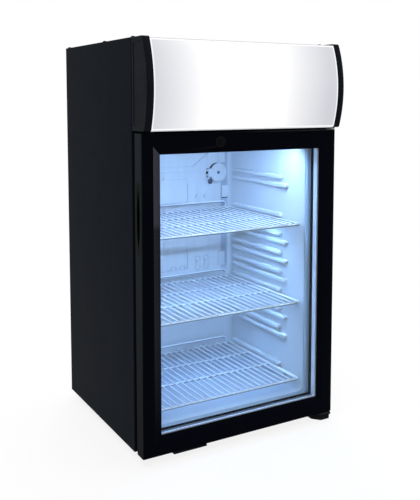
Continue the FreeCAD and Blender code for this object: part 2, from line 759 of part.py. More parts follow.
def crown_outline(half, narrow, shrink):
    """Outline of the upper channel, with its sloping lower corners."""
    high = dim.plate_height - dim.crown_drop - shrink
    low = dim.plate_height - dim.crown_drop - dim.crown_height + shrink
    wide = half - dim.crown_margin - shrink
    radius = dim.loop_corner - shrink
    foot = narrow - shrink
    return outline_edges([
        (-foot, low, radius), (foot, low, radius), (wide, low + dim.crown_slope, radius),
        (wide, high, radius), (-wide, high, radius), (-wide, low + dim.crown_slope, radius),
    ])


def blown_channels(half, spout_end, plate_front, low):
    """Channel loops, islands, pads and the runs that join them, on the plate's front."""
    band = dim.channel_width
    rise = dim.channel_rise
    pitch = dim.plate_height / (dim.loop_count + 1)
    loop_half = half - dim.loop_margin
    loop_up = dim.loop_height / 2
    inset = band + dim.island_inset
    corner = dim.loop_corner
    raised = []
    for number in range(int(dim.loop_count)):
        level = pitch * (number + 0.5)
        loop = [soft_rectangle(loop_half, loop_up, corner, level),
                soft_rectangle(loop_half - band, loop_up - band, corner / 2, level)]
        raised.append(extrusion(f"plate_loop_{number}", loop, rise, FRONTWARD, 0, plate_front, low))
        island = [soft_rectangle(loop_half - inset, loop_up - inset, corner / 2, level)]
        raised.append(extrusion(f"plate_island_{number}", island, rise / 2, FRONTWARD, 0, plate_front, low))
        raised.append(block(f"plate_run_{number}", (-band / 2, band / 2), (plate_front - rise, plate_front),
                            (low + level + loop_up - band / 2, low + level + pitch - loop_up + band / 2)))
        for side_name, side in (("left", -1), ("right", 1)):
            for row_name, inward in (("outer", 0), ("inner", dim.pad_step)):
                raised.append(rod(f"plate_pad_{side_name}_{row_name}_{number}", FRONTWARD,
                                  side * (half - dim.pad_margin - inward), plate_front,
                                  low + level - dim.pad_drop, dim.pad_radius, rise))
    narrow = spout_end - dim.crown_margin
    crown = [crown_outline(half, narrow, Length.of(0)), crown_outline(half, narrow, band)]
    raised.append(extrusion("plate_crown", crown, rise, FRONTWARD, 0, plate_front, low))
    feed = above(cover_level)
    raised.append(block("plate_feed", (-loop_half, spout_end), (plate_front - rise, plate_front),
                        (feed - band / 2, feed + band / 2)))
    return raised


def evaporator():
    half = half_opening - dim.plate_margin
    high = above(opening_ceiling) - dim.plate_head_gap
    low = high - dim.plate_height
    plate_back = back_wall - dim.plate_standoff
    plate_front = plate_back - dim.plate_gauge
    sheet_block = block("plate_sheet", (-half, half), (plate_front, plate_back), (low, high))
    spout_end = cover_across - dim.spout_reach - dim.notch_margin
    room = dim.cover_radius + dim.notch_margin
    notch = block("plate_notch", (spout_end, half + room), (plate_front - 1, plate_back + 1),
                  (above(cover_level) - room, above(cover_level) + room))
    sheet_cut = cut("plate_notched", sheet_block, notch)
    raised = blown_channels(half, spout_end, plate_front, low)
    publish("evaporator_plate", fuse("evaporator_plate", sheet_cut, *raised))
    clips = []
    clip_lap = dim.clip_width / 2
    for side_name, side in (("left", -1), ("right", 1)):
        for level_name, level in (("low", low + dim.clip_height), ("high", high - dim.clip_height)):
            edge = side * half
            name = f"clip_{side_name}_{level_name}"
            body = block(name + "_block", (edge - clip_lap, edge + clip_lap),
                         (plate_front - dim.clip_lip, back_wall),
                         (level - dim.clip_height / 2, level + dim.clip_height / 2))
            slot = block(name + "_slot", (-half, half), (plate_front, plate_back), (low, high))
            clips.append(cut(name, body, slot))
    group = doc.addObject("Part::Compound", "evaporator_clips")
    group.Links = clips
    publish("evaporator_clips", group)


def tube_cover():
    """Round cover over the tubes, with a spout towards the plate."""
    radius = float(dim.cover_radius)
    half_spout = float(dim.spout_height) / 2
    reach = float(dim.spout_reach)

    def keyhole(shrink, end):
        big = radius - shrink
        low = half_spout - shrink
        join = -math.sqrt(big ** 2 - low ** 2)
        return [
            Part.Arc(Vector(join, low, 0), Vector(big, 0, 0), Vector(join, -low, 0)),
            Part.LineSegment(Vector(join, -low, 0), Vector(end, -low, 0)),
            Part.LineSegment(Vector(end, -low, 0), Vector(end, low, 0)),
            Part.LineSegment(Vector(end, low, 0), Vector(join, low, 0)),
        ]

    cover = extrusion("tube_cover", [keyhole(0, -reach)], dim.cover_depth, FRONTWARD,
                      cover_across, back_wall, above(cover_level))
    wall = float(dim.cover_wall)
    hollow = dim.cover_depth - dim.cover_wall
    pocketed(cover, "cover_hollow", [keyhole(wall, -reach - wall)], hollow, hollow)
    publish("tube_cover", cover)


def cabinet_lamp():
    half = half_opening - dim.lamp_margin
    lean = dim.liner_draft * (dim.lamp_front + dim.lamp_depth) / liner_depth
    ceiling = above(opening_ceiling) - lean
    near = behind(dim.lamp_front)
    lip = ceiling - dim.lamp_base
    housing = block("lamp_housing", (-half, half), (near, near + dim.lamp_depth), (lip, ceiling))
    publish("lamp_housing", housing)
    bow = [(0, 0), (dim.lamp_depth, 0), ("via", dim.lamp_depth / 2, -dim.lamp_lens)]
    publish("lamp_lens", extrusion("lamp_lens", [outline_edges(bow)], half * 2, SIDEWARD, -half, near, lip))


# Wire shelves

shelf_rear = liner_depth - dim.shelf_rear_gap
rear_cross = shelf_rear - dim.cross_wire


def shelf_level(slot):
    """Level of a shelf's side wires, resting on the lower rib of a slot."""
    rib_top = rib_first + rib_pitch * slot - dim.rib_height / 2 - dim.rib_slot
    return above(rib_top) + dim.shelf_clearance + dim.rim_wire / 2


def shelf_deck():
    """A bent front and side wire, cross wires inside it, and deck wires on top."""
    thick = float(dim.cross_wire)
    side = float(half_opening - dim.shelf_side_gap - dim.rim_wire / 2)
    near = float(dim.shelf_front)
    rear_edge = float(shelf_rear)
    middle = near + float(dim.rim_wire) / 2
    rim = [(-side, rear_edge, 0), (-side, middle, 0), (side, middle, 0), (side, rear_edge, 0)]
    wires = [wire_solid(rim, dim.shelf_corner, dim.rim_wire)]
    bays = int(dim.cross_count) - 1
    first_cross = middle + float(dim.front_bay)
    bay = (float(rear_cross) - first_cross) / bays
    for number in range(bays + 1):
        y = first_cross + number * bay
        wires.append(Part.makeCylinder(thick / 2, 2 * side, Vector(-side, y, 0), Vector(1, 0, 0)))
    level = float(dim.cross_wire + dim.deck_wire) / 2 - float(dim.wire_sink)
    count = int(dim.wire_count)
    pitch = 2 * float(half_opening - dim.shelf_side_gap - dim.wire_margin) / (count - 1)
    for number in range(count):
        x = (number - (count - 1) / 2) * pitch
        wires.append(Part.makeCylinder(float(dim.deck_wire) / 2, rear_edge - near, Vector(x, near, level),
                                       Vector(0, 1, 0)))
    return wires[0].multiFuse(wires[1:])


def shelves():
    deck_shape = shelf_deck()
    half_guard = float(half_opening - dim.shelf_side_gap - dim.guard_margin)
    foot_level = float(dim.cross_wire) / 2
    crown = float(dim.guard_height)
    route = [(-half_guard, 0, foot_level), (-half_guard, 0, crown), (half_guard, 0, crown),
             (half_guard, 0, foot_level)]
    guard_shape = wire_solid(route, dim.guard_bend, dim.guard_wire)
    for number, name in enumerate(SHELF_NAMES):
        level = shelf_level(number * dim.shelf_slot_count)
        publish("shelf_" + name, place(coded("shelf_" + name, deck_shape), 0, front, level))
        guard = place(coded(f"shelf_{name}_guard", guard_shape), 0, behind(rear_cross), level)
        publish(f"shelf_{name}_guard", guard)


# Lit canopy

bulge_level = (deck_level + dim.body_height) / 2


def canopy_circle(setback):
    """Centre and radius of the canopy's front arc, moved in by a setback."""
    arc = Part.Arc(Vector(-float(dim.canopy_top_reach), float(dim.body_height), 0),
                   Vector(-float(dim.canopy_reach), float(bulge_level), 0),
                   Vector(-float(dim.canopy_foot_reach), float(deck_level), 0)).toShape().Curve
    return arc.Center, arc.Radius - float(setback)


def arc_point(setback, level):
    """Depth of the canopy's front arc at a level above the base pan."""
    centre, radius = canopy_circle(setback)
    return centre.x - math.sqrt(radius ** 2 - (float(level) - centre.y) ** 2)


def canopy_profile(setback, low, high, back):
    """Closed side view of the canopy between two levels, in from its arc by a setback."""
    middle = (float(low) + float(high)) / 2
    return [(arc_point(setback, low), low), ("via", arc_point(setback, middle), middle),
            (arc_point(setback, high), high), (back, high), (back, low)]


def canopy_cap(label, side):
    """Hollow moulded end with a sunk field on its outer face."""
    low = deck_level
    high = dim.body_height
    outside = outline_edges(canopy_profile(0, low, high, 0))
    inner_face = half_width - dim.cap_width
    start = inner_face if side > 0 else -half_width
    rim = dim.cap_rim
    hollow = outline_edges(canopy_profile(rim, low + rim, high - rim, -rim))
    inset = dim.cap_inset
    field = outline_edges(canopy_profile(inset, low + inset, high - inset, -inset))
    body = extrusion(label, [outside], dim.cap_width, SIDEWARD, start, front, base)
    sink = dim.cap_sink
    depth = dim.cap_width - dim.cap_wall
    if side > 0:
        pocketed(body, label + "_hollow", [hollow], depth, depth)
        pocketed(body, label + "_field", [field], dim.cap_width, sink)
    else:
        pocketed(body, label + "_hollow", [hollow], dim.cap_width, depth)
        pocketed(body, label + "_field", [field], sink, sink)
    corners = [(float(front) + arc_point(0, level), float(above(level))) for level in (low, high)]

    def at_corner(edge):
        box = edge.BoundBox
        flat = box.YLength < 1e-3 and box.ZLength < 1e-3
        return flat and any(abs(box.YMin - y) < 1e-3 and abs(box.ZMin - z) < 1e-3 for y, z in corners)

    soft = rounded(label + "_soft", body, at_corner, dim.cap_corner)
    outer = half_width - dim.seam_depth
    across = (outer, half_width) if side > 0 else (-half_width, -outer)
    seam = block(label + "_seam", across, (front - dim.cap_seam, front), (above(low), above(high)))
    publish(label, cut(label + "_grooved", soft, seam))


def canopy():
    canopy_cap("canopy_cap_left", -1)
    canopy_cap("canopy_cap_right", 1)
    span = half_width - dim.cap_width
    gauge = dim.sheet_gauge
    low = deck_level
    high = dim.body_height
    sill = low + dim.rail_gauge
    crown_lip = high - dim.canopy_sink
    head = crown_lip - gauge
    setback = dim.panel_setback
    inner = setback + dim.panel_gauge
    middle = (sill + head) / 2
    panel = [
        (arc_point(setback, sill), sill), ("via", arc_point(setback, middle), middle),
        (arc_point(setback, head), head), (arc_point(inner, head), head),
        ("via", arc_point(inner, middle), middle), (arc_point(inner, sill), sill),
    ]
    publish("canopy_panel", extrusion("canopy_panel", [outline_edges(panel)], span * 2, SIDEWARD,
                                      -span, front, base))
    rail_front = arc_point(dim.rail_setback, sill)
    rail_back = Length.of(rail_front) + dim.tray_lip
    rail = [(rail_front, low), (rail_back, low), (rail_back, sill), (rail_front, sill)]
    publish("canopy_bottom_rail", extrusion("canopy_bottom_rail", [outline_edges(rail)], span * 2, SIDEWARD,
                                            -span, front, base))
    crown = arc_point(setback, head)
    tray = [
        (0, crown_lip), (crown, crown_lip), (crown, head), (-gauge, head), (-gauge, low + gauge),
        (rail_back, low + gauge), (rail_back, low), (0, low),
    ]
    blank = extrusion("tray_blank", [outline_edges(tray)], span * 2, SIDEWARD, -span, front, base)
    publish("canopy_tray", cut("canopy_tray", blank, keeper_slot()))
    half = half_width - dim.batten_margin
    height = dim.batten_height
    batten = [
        (0, -height / 2), (0, height / 2), (-dim.batten_base, height / 2),
        ("via", -dim.batten_base - height / 2, 0), (-dim.batten_base, -height / 2),
    ]
    publish("canopy_lamp", extrusion("canopy_lamp", [outline_edges(batten)], half * 2, SIDEWARD,
                                     -half, front - gauge, above(bulge_level)))


# Door

door_front = front - dim.door_gap - dim.door_thickness
door_back = front - dim.door_gap
door_low = above(dim.door_bottom)
door_high = deck - dim.door_head_gap
handle_level = door_high - dim.handle_drop
pane_half = half_width - dim.rail_width + dim.glass_bite
pane_front = door_front + dim.rail_slope
lock_level = door_high - dim.lock_drop
cam_front = door_front + dim.barrel_length + dim.cam_clearance / 2
pin_x = half_width - dim.pin_inset
pin_y = front - dim.pin_setback


def rail_section():
    """Door rail: distance in from the outer edge, then back from the front."""
    glazing = dim.pane_gauge * 2 + dim.spacer_depth
    seat = dim.rail_width - dim.glass_bite
    shell = [
        (0, 0, dim.rail_edge), (dim.rail_land, 0), (dim.rail_width, dim.rail_slope), (seat, dim.rail_slope),
        (seat, dim.rail_slope + glazing), (dim.rail_width, dim.rail_slope + glazing),
        (dim.rail_width, dim.door_thickness), (0, dim.door_thickness, dim.rail_edge),
    ]
    wall = dim.rail_wall
    chamber = [
        (wall, wall), (dim.rail_land - wall, wall), (seat - wall, wall + dim.rail_slope),
        (seat - wall, dim.door_thickness - wall), (wall, dim.door_thickness - wall),
    ]
    return shell, chamber


def mitred(name, bar, corners):
    """A rail cut to its mitres by a flat shape seen from the front."""
    prism = extrusion(name + "_mitre", [outline_edges(corners)], dim.door_thickness, FRONTWARD,
                      0, door_back, 0)
    return common(name + "_mitred", bar, prism)


def horizontal_rail(name, edge, inward):
    loops = []
    for loop in rail_section():
        loops.append(outline_edges([(point[1], inward * point[0], *point[2:]) for point in loop]))
    bar = extrusion(name + "_bar", loops, dim.body_width, SIDEWARD, -half_width, door_front, edge)
    inner_edge = edge + inward * dim.rail_width
    inner_end = half_width - dim.rail_width
    corners = [(-half_width, edge), (half_width, edge), (inner_end, inner_edge), (-inner_end, inner_edge)]
    return mitred(name, bar, corners)


def vertical_stile(name, side):
    loops = []
    for loop in rail_section():
        loops.append(outline_edges([(-side * point[0], point[1], *point[2:]) for point in loop]))
    edge = side * half_width
    bar = extrusion(name + "_bar", loops, door_high - door_low, UP, edge, door_front, door_low)
    inner_edge = edge - side * dim.rail_width
    corners = [(edge, door_low), (edge, door_high), (inner_edge, door_high - dim.rail_width),
               (inner_edge, door_low + dim.rail_width)]
    return mitred(name, bar, corners)


def ring(name, half_across, low, high, width, near, far):
    """A rectangular frame between two depths, measured in from its outer edges."""
    outside = block(name + "_outside", (-half_across, half_across), (near, far), (low, high))
    inside = block(name + "_inside", (width - half_across, half_across - width), (near - 1, far + 1),
                   (low + width, high - width))
    return cut(name, outside, inside)


def keeper_slot():
    """Slot in the canopy's underside for the raised lock cam."""
    return block("keeper_slot", (dim.lock_across - dim.cam_reach, dim.lock_across + dim.cam_width),
                 (cam_front - dim.cam_clearance, cam_front + dim.cam_gauge + dim.cam_clearance),
                 (deck - 1, deck + dim.sheet_gauge + 1))


def door_rails():
    head = horizontal_rail("rail_top", door_high, -1)
    lock_hole = rod("lock_hole", FRONTWARD, dim.lock_across, door_front + dim.barrel_length, lock_level,
                    dim.lock_radius, dim.barrel_length + 1)
    cam_slot = block("cam_slot", (dim.lock_across - dim.cam_reach - dim.cam_clearance,
                                  dim.lock_across + dim.cam_width / 2 + dim.cam_clearance),
                     (cam_front - dim.cam_clearance, cam_front + dim.cam_gauge + dim.cam_clearance),
                     (door_high - dim.rail_wall - 1, door_high + 1))
    head_seat = rod("bush_seat_top", UP, pin_x, pin_y, door_high - dim.bush_length, dim.bush_radius,
                    dim.bush_length + 1)
    publish("door_rail_top", cut("door_rail_top", head, lock_hole, cam_slot, head_seat))
    sill_seat = rod("bush_seat_bottom", UP, pin_x, pin_y, door_low - 1, dim.bush_radius,
                    dim.bush_length + 1)
    sill = horizontal_rail("rail_bottom", door_low, 1)
    publish("door_rail_bottom", cut("door_rail_bottom", sill, sill_seat))
    publish("door_stile_right", vertical_stile("stile_right", 1))
    recess = extrusion("handle_recess", [slot_outline(dim.handle_length, dim.handle_width)],
                       dim.handle_depth, SIDEWARD, -half_width, handle_y(), handle_level)
    publish("door_stile_left", cut("door_stile_left", vertical_stile("stile_left", -1), recess))


def handle_y():
    return door_front + dim.door_thickness / 2


def slot_outline(length, width):
    """Upright slot with round ends."""
    half = float(length) / 2 - float(width) / 2
    side = float(width) / 2
    return [
        Part.LineSegment(Vector(-side, half, 0), Vector(-side, -half, 0)),
        Part.Arc(Vector(-side, -half, 0), Vector(0, -half - side, 0), Vector(side, -half, 0)),
        Part.LineSegment(Vector(side, -half, 0), Vector(side, half, 0)),
        Part.Arc(Vector(side, half, 0), Vector(0, half + side, 0), Vector(-side, half, 0)),
    ]


def lens_outline(length, width):
    """Upright lens of two arcs."""
    half = float(length) / 2
    side = float(width) / 2
    return [
        Part.Arc(Vector(0, half, 0), Vector(-side, 0, 0), Vector(0, -half, 0)),
        Part.Arc(Vector(0, -half, 0), Vector(side, 0, 0), Vector(0, half, 0)),
    ]


def handle_insert():
    """Moulded cup with a lens-shaped finger recess, open towards the left."""
    body = extrusion("handle_insert", [slot_outline(dim.handle_length, dim.handle_width)], dim.handle_depth,
                     SIDEWARD, -half_width, handle_y(), handle_level)
    grip = lens_outline(dim.grip_length, dim.grip_width)
    pocketed(body, "finger_recess", [grip], dim.grip_depth, dim.grip_depth)
    publish("handle_insert", body)


def glazing():
    low = door_low + dim.rail_width - dim.glass_bite
    high = door_high - dim.rail_width + dim.glass_bite
    outer_back = pane_front + dim.pane_gauge
    inner_front = outer_back + dim.spacer_depth
    publish("outer_pane", block("outer_pane", (-pane_half, pane_half),
                                (pane_front, outer_back), (low, high)))
    publish("inner_pane", block("inner_pane", (-pane_half, pane_half),
                                (inner_front, inner_front + dim.pane_gauge), (low, high)))
    edge = dim.glass_bite - dim.spacer_width
    publish("spacer_bar", ring("spacer_bar", pane_half - edge, low + edge, high - edge, dim.spacer_width,
                               outer_back, inner_front))


def gasket():
    """Magnetic seal on the door's back: a wide foot, a narrow bellows and a wide face."""
    edge = return_line + dim.gasket_overlap
    low = above(dim.opening_floor) - dim.flange_width - dim.gasket_sink
    high = above(opening_ceiling) + dim.flange_width
    face = front - dim.gasket_clearance
    width = dim.gasket_width
    lip = dim.gasket_lip
    neck = width / 4
    foot = ring("gasket_foot", edge, low, high, width, door_back, door_back + lip)
    bellows = ring("gasket_bellows", edge - neck, low + neck, high - neck, width - neck * 2,
                   door_back + lip, face - lip)
    seal = ring("gasket_face", edge, low, high, width, face - lip, face)
    publish("door_gasket", fuse("door_gasket", foot, bellows, seal))


def lock():
    """Cam lock in the top rail: a fixed barrel and a turning plug with its cam."""
    x = dim.lock_across
    face = door_front
    barrel_end = door_front + dim.barrel_length
    bore = dim.plug_radius + dim.plug_clearance
    barrel = rod("barrel_body", FRONTWARD, x, barrel_end, lock_level, dim.lock_radius, dim.barrel_length)
    collar = rod("barrel_collar", FRONTWARD, x, face, lock_level, dim.lock_collar, dim.lock_collar_rise)
    barrel_bore = rod("barrel_bore", FRONTWARD, x, barrel_end + 1, lock_level, bore,
                      dim.barrel_length + dim.lock_collar_rise + 2)
    publish("lock_barrel", cut("lock_barrel", fuse("barrel_blank", barrel, collar), barrel_bore))
    cam_back = cam_front + dim.cam_gauge
    reach = dim.barrel_length + dim.lock_collar_rise + dim.plug_rise + (cam_back - barrel_end)
    plug = rod("plug_body", FRONTWARD, x, cam_back, lock_level, dim.plug_radius, reach)
    half_cam = dim.cam_width / 2
    cam = block("plug_cam", (x - dim.cam_reach, x), (cam_front, cam_back),
                (lock_level - half_cam, lock_level + half_cam))
    plug_face = face - dim.lock_collar_rise - dim.plug_rise
    half_slot = dim.key_slot / 2
    half_key = dim.plug_radius * 0.7
    slot = block("plug_key_slot", (x - half_slot, x + half_slot),
                 (plug_face - 1, face + dim.barrel_length / 2),
                 (lock_level - half_key, lock_level + half_key))
    publish("lock_plug", cut("lock_plug", fuse("plug_blank", plug, cam), slot))


# Hinges, feet and the door rest

def hinge_nose(half, reach):
    """Front of a hinge plate: a sloping inner side and a rounded outer corner."""
    corner = dim.hinge_corner
    return [(-half, 0), (-half / 3, -reach, corner), (half, -reach, corner)]


def hinge_plate(name, z, tail):
    """Flat plate with a blunt nose under or over the door's corner."""
    half = dim.hinge_half_width
    nose = hinge_nose(half, dim.hinge_nose)
    outline = [(-half, tail), *nose, (half, tail)]
    return extrusion(name, [outline_edges(outline)], dim.hinge_gauge, UP, pin_x, pin_y, z)


def hinges():
    plate_low = base - dim.hinge_gauge
    lower = hinge_plate("hinge_plate_lower", plate_low, dim.pin_setback + dim.hinge_tail)
    lower_pin = rod("hinge_pin_lower", UP, pin_x, pin_y, base, dim.pin_radius,
                    dim.door_bottom + dim.pin_reach)
    publish("lower_hinge_bracket", fuse("lower_hinge_bracket", lower, lower_pin))
    plate_high = deck - dim.hinge_gauge
    upper = hinge_plate("hinge_plate_upper", plate_high, dim.pin_setback - dim.cover_wall)
    gap = plate_high - door_high
    upper_pin = rod("hinge_pin_upper", UP, pin_x, pin_y, door_high - dim.pin_reach, dim.pin_radius,
                    dim.pin_reach + gap)
    publish("upper_hinge_bracket", fuse("upper_hinge_bracket", upper, upper_pin))
    half = dim.hinge_half_width - dim.hinge_cap_inset
    back = dim.pin_setback
    corner = dim.hinge_cap_corner
    nose = hinge_nose(half, dim.hinge_nose - dim.hinge_cap_inset)
    outline = [(-half, back, corner), *nose, (half, back, corner)]
    publish("hinge_cap", extrusion("hinge_cap", [outline_edges(outline)], dim.hinge_cap_depth, UP,
                                   pin_x, pin_y, plate_low - dim.hinge_cap_depth))
    bore = dim.pin_radius + dim.pin_clearance
    bushes = []
    for name, level in (("bottom", door_low), ("top", door_high - dim.bush_length)):
        sleeve = rod("bush_" + name, UP, pin_x, pin_y, level, dim.bush_radius, dim.bush_length)
        hole = rod("bush_bore_" + name, UP, pin_x, pin_y, level - 1, bore, dim.bush_length + 2)
        bushes.append(cut("hinge_bush_" + name, sleeve, hole))
    group = doc.addObject("Part::Compound", "hinge_bushes")
    group.Links = bushes
    publish("hinge_bushes", group)


def feet_and_rest():
    pads = []
    across = half_width - dim.foot_inset
    for side_name, side in (("left", -1), ("right", 1)):
        for end_name, y in (("front", behind(dim.foot_setback)), ("rear", rear - dim.foot_rear_inset)):
            pads.append(cone(f"foot_{side_name}_{end_name}", side * across, y, Length.of(0),
                             dim.foot_radius, dim.foot_radius - dim.foot_taper, dim.foot_height))
    group = doc.addObject("Part::Compound", "feet")
    group.Links = pads
    publish("feet", group)
    left = dim.rest_inset - half_width
    publish("door_rest_plate", block("door_rest_plate", (left, left + dim.rest_width),
                                     (front - dim.rest_reach, front + dim.rest_tail),
                                     (base - dim.rest_gauge, base)))


# Machinery above the deck

fan_x = coil_left + dim.coil_width / 2
fan_level = deck_top + dim.coil_height / 2 + dim.grommet_height
coil_front = rear - dim.coil_rear
shroud_back = coil_front
shroud_front = shroud_back - dim.shroud_gauge
bridge_back = shroud_front - dim.bridge_depth + dim.shroud_gauge
drier_low = deck_top + 2 * dim.line_bend


def compressor():
    x = compressor_across
    y = behind(compressor_setback)
    plate_low = deck_top + dim.grommet_height
    plate_top = plate_low + dim.foot_plate_gauge
    radius = dim.compressor_radius
    height = dim.compressor_height
    seam = dim.compressor_seam
    middle = height * 0.55
    shell = revolved("compressor_shell", [
        (0, 0), (radius * 0.62, 0), ("via", radius * 0.9, height * 0.07), (radius, height * 0.22),
        (radius, middle - seam), (radius + seam, middle - seam), (radius + seam, middle + seam),
        (radius, middle + seam), (radius, height * 0.8), ("via", radius * 0.82, height * 0.94),
        (radius * 0.4, height), (0, height),
    ], x, y, plate_top)
    wide = dim.foot_plate_width / 2
    deep = dim.foot_plate_depth / 2
    corner = dim.foot_plate_corner
    plate = extrusion("compressor_plate", [outline_edges([
        (-wide, -deep, corner), (wide, -deep, corner), (wide, deep, corner), (-wide, deep, corner)])],
        dim.foot_plate_gauge, UP, x, y, plate_low)
    publish("compressor", fuse("compressor", shell, plate))
    mounts = []
    for side_name, side in (("left", -1), ("right", 1)):
        for end_name, end in (("front", -1), ("rear", 1)):
            mounts.append(rod(f"grommet_{side_name}_{end_name}", UP, x + side * (wide - dim.grommet_inset),
                              y + end * (deep - dim.grommet_inset), deck_top, dim.grommet_radius,
                              dim.grommet_height))
    group = doc.addObject("Part::Compound", "compressor_grommets")
    group.Links = mounts
    publish("compressor_grommets", group)


def condenser_levels():
    rows = int(dim.coil_rows)
    step = float(dim.coil_height) / rows
    return [float(deck_top) + step * (row + 0.5) for row in range(rows)]


def condenser():
    """Fin block with one tube snaking through it and on to the filter drier."""
    left = coil_left
    right = left + dim.coil_width
    near = float(coil_front)
    middle = near + float(dim.coil_depth) / 2
    levels = condenser_levels()
    hole = float(dim.coil_tube) / 2 + float(dim.tube_clearance)
    fin = Part.makeBox(float(dim.fin_gauge), float(dim.coil_depth), float(dim.coil_height),
                       Vector(0, near, float(deck_top)))
    for level in levels:
        fin = fin.cut(Part.makeCylinder(hole, 10, Vector(-5, middle, level), Vector(1, 0, 0)))
    count = int(float(dim.coil_width) / float(dim.fin_pitch)) - 1
    fins = []
    for number in range(count):
        copy = fin.copy()
        copy.translate(Vector(float(left) + (number + 1) * float(dim.fin_pitch), 0, 0))
        fins.append(copy)
    publish("condenser_fins", coded("condenser_fins", Part.makeCompound(fins)))
    step = levels[1] - levels[0]
    bend = step / 2 - 0.01
    route = [(float(coil_end), middle, levels[-1])]
    for row, level in enumerate(reversed(levels)):
        ends = [(float(right) + bend, middle, level), (float(left) - bend, middle, level)]
        turn = ends[::-1] if row % 2 else ends
        route += turn[1:] if row == 0 else turn
    drier_x = float(drier_across)
    route[-1] = (drier_x, middle, levels[0])
    route.append((drier_x, middle, float(drier_low)))
    publish("condenser_tube", coded("condenser_tube", wire_solid(route, bend, dim.coil_tube)))


def fan():
    shroud_half = dim.coil_width / 2
    low = deck_top
    high = deck_top + dim.coil_height + dim.grommet_height
    plate = block("shroud_plate", (fan_x - shroud_half, fan_x + shroud_half),
                  (shroud_front, shroud_back), (low, high))
    mouth = rod("shroud_mouth", FRONTWARD, fan_x, shroud_back + 1, fan_level,
                dim.fan_radius + dim.fan_clearance, dim.shroud_gauge + 2)
    half_bar = dim.bridge_height / 2
    bar = block("bridge_bar", (fan_x - shroud_half, fan_x + shroud_half),
                (bridge_back - dim.shroud_gauge, bridge_back), (fan_level - half_bar, fan_level + half_bar))
    leg_left = block("bridge_leg_left", (fan_x - shroud_half, fan_x - shroud_half + dim.shroud_gauge),
                     (bridge_back, shroud_front), (fan_level - half_bar, fan_level + half_bar))
    leg_right = block("bridge_leg_right", (fan_x + shroud_half - dim.shroud_gauge, fan_x + shroud_half),
                      (bridge_back, shroud_front), (fan_level - half_bar, fan_level + half_bar))
    bridge_front = bridge_back - dim.shroud_gauge
    shaft_room = rod("bridge_hole", FRONTWARD, fan_x, bridge_back + 1, fan_level,
                     dim.shaft_radius * 2, dim.shroud_gauge + 2)
    blank = fuse("shroud_blank", plate, bar, leg_left, leg_right)
    publish("fan_shroud", cut("fan_shroud", blank, mouth, shaft_room))
    shaft_end = shroud_front - dim.shroud_gauge
    motor = rod("motor_can", FRONTWARD, fan_x, bridge_front, fan_level, dim.motor_radius, dim.motor_depth)
    shaft = rod("motor_shaft", FRONTWARD, fan_x, shaft_end, fan_level, dim.shaft_radius,
                shaft_end - bridge_front)
    publish("fan_motor", fuse("fan_motor", motor, shaft))
    hub_back = shaft_end - dim.shroud_gauge
    bore = float(dim.shaft_radius + dim.plug_clearance)
    hub_depth = float(dim.hub_depth)
    hub = Part.makeCylinder(float(dim.hub_radius), hub_depth)
    blades = []
    root = float(dim.hub_radius - dim.blade_sink)
    span = float(dim.fan_radius) - root
    chord = float(dim.blade_chord)
    thick = float(dim.blade_gauge)
    count = int(dim.blade_count)
    for number in range(count):
        blade = Part.makeBox(span, chord, thick, Vector(root, -chord / 2, -thick / 2))
        blade.rotate(Vector(0, 0, 0), Vector(1, 0, 0), float(dim.blade_pitch))
        blade.translate(Vector(0, 0, hub_depth / 2))
        blade.rotate(Vector(0, 0, 0), Vector(0, 0, 1), number * 360 / count)
        blades.append(blade)
    disc = Part.makeCylinder(float(dim.fan_radius), hub_depth)
    wheel = hub.multiFuse([blade.common(disc) for blade in blades])
    wheel = wheel.cut(Part.makeCylinder(bore, hub_depth + 2, Vector(0, 0, -1)))
    publish("fan_blade", place(coded("fan_blade", wheel), fan_x, hub_back, fan_level, FRONTWARD))


def refrigerant_lines():
    bend = dim.line_bend
    tight = dim.line_elbow
    levels = condenser_levels()
    coil_y = float(coil_front) + float(dim.coil_depth) / 2
    drier_x = float(drier_across)
    radius = float(dim.drier_radius)
    neck = float(dim.coil_tube) / 2
    length = float(dim.drier_length)
    shoulder = radius
    publish("filter_drier", revolved("filter_drier", [
        (0, 0), (neck, 0), (radius, shoulder), (radius, length - shoulder), (neck, length), (0, length)],
        drier_across, coil_y, drier_low))
    comp_x = float(compressor_across)
    comp_y = float(behind(compressor_setback))
    stub = float(deck_top + dim.grommet_height + dim.foot_plate_gauge) + float(dim.compressor_height) * 0.7
    rim = float(dim.compressor_radius)
    riser_x = float(riser_across)
    discharge = [(comp_x - rim, comp_y, stub), (riser_x, comp_y, stub), (riser_x, coil_y, stub),
                 (riser_x, coil_y, levels[-1]), (float(coil_end), coil_y, levels[-1])]
    publish("discharge_line", coded("discharge_line", wire_solid(discharge, tight, dim.line_diameter)))
    duct_x = float(cover_across)
    duct_y = float(behind(duct_setback))
    cover_z = float(above(cover_level))
    inside_y = float(back_wall) - float(dim.line_diameter) / 2 - float(dim.line_gap)
    suction_top = float(deck_top) + 3 * float(bend)
    plate_edge = duct_x - float(dim.spout_reach + dim.notch_margin)
    suction = [(plate_edge, inside_y, cover_z), (duct_x, inside_y, cover_z), (duct_x, duct_y, cover_z),
               (duct_x, duct_y, suction_top), (comp_x, duct_y, suction_top),
               (comp_x, comp_y + rim, suction_top)]
    publish("suction_line", coded("suction_line", wire_solid(suction, tight, dim.line_diameter)))
    thin = float(dim.capillary_diameter)
    aside = duct_x + float(dim.line_diameter) / 2 + thin / 2 + float(dim.line_gap)
    exit_level = float(deck_top) + float(bend)
    drier_high = float(drier_low) + length
    capillary = [(drier_x, coil_y, drier_high), (drier_x, coil_y, drier_high + float(bend)),
                 (aside, coil_y + float(dim.capillary_swing), drier_high + float(bend)),
                 (aside, duct_y, exit_level + 2 * float(bend)), (aside, duct_y, cover_z + 3 * thin)]
    publish("capillary_tube", coded("capillary_tube", wire_solid(capillary, float(dim.capillary_bend), thin)))


# Rear grille and its controls

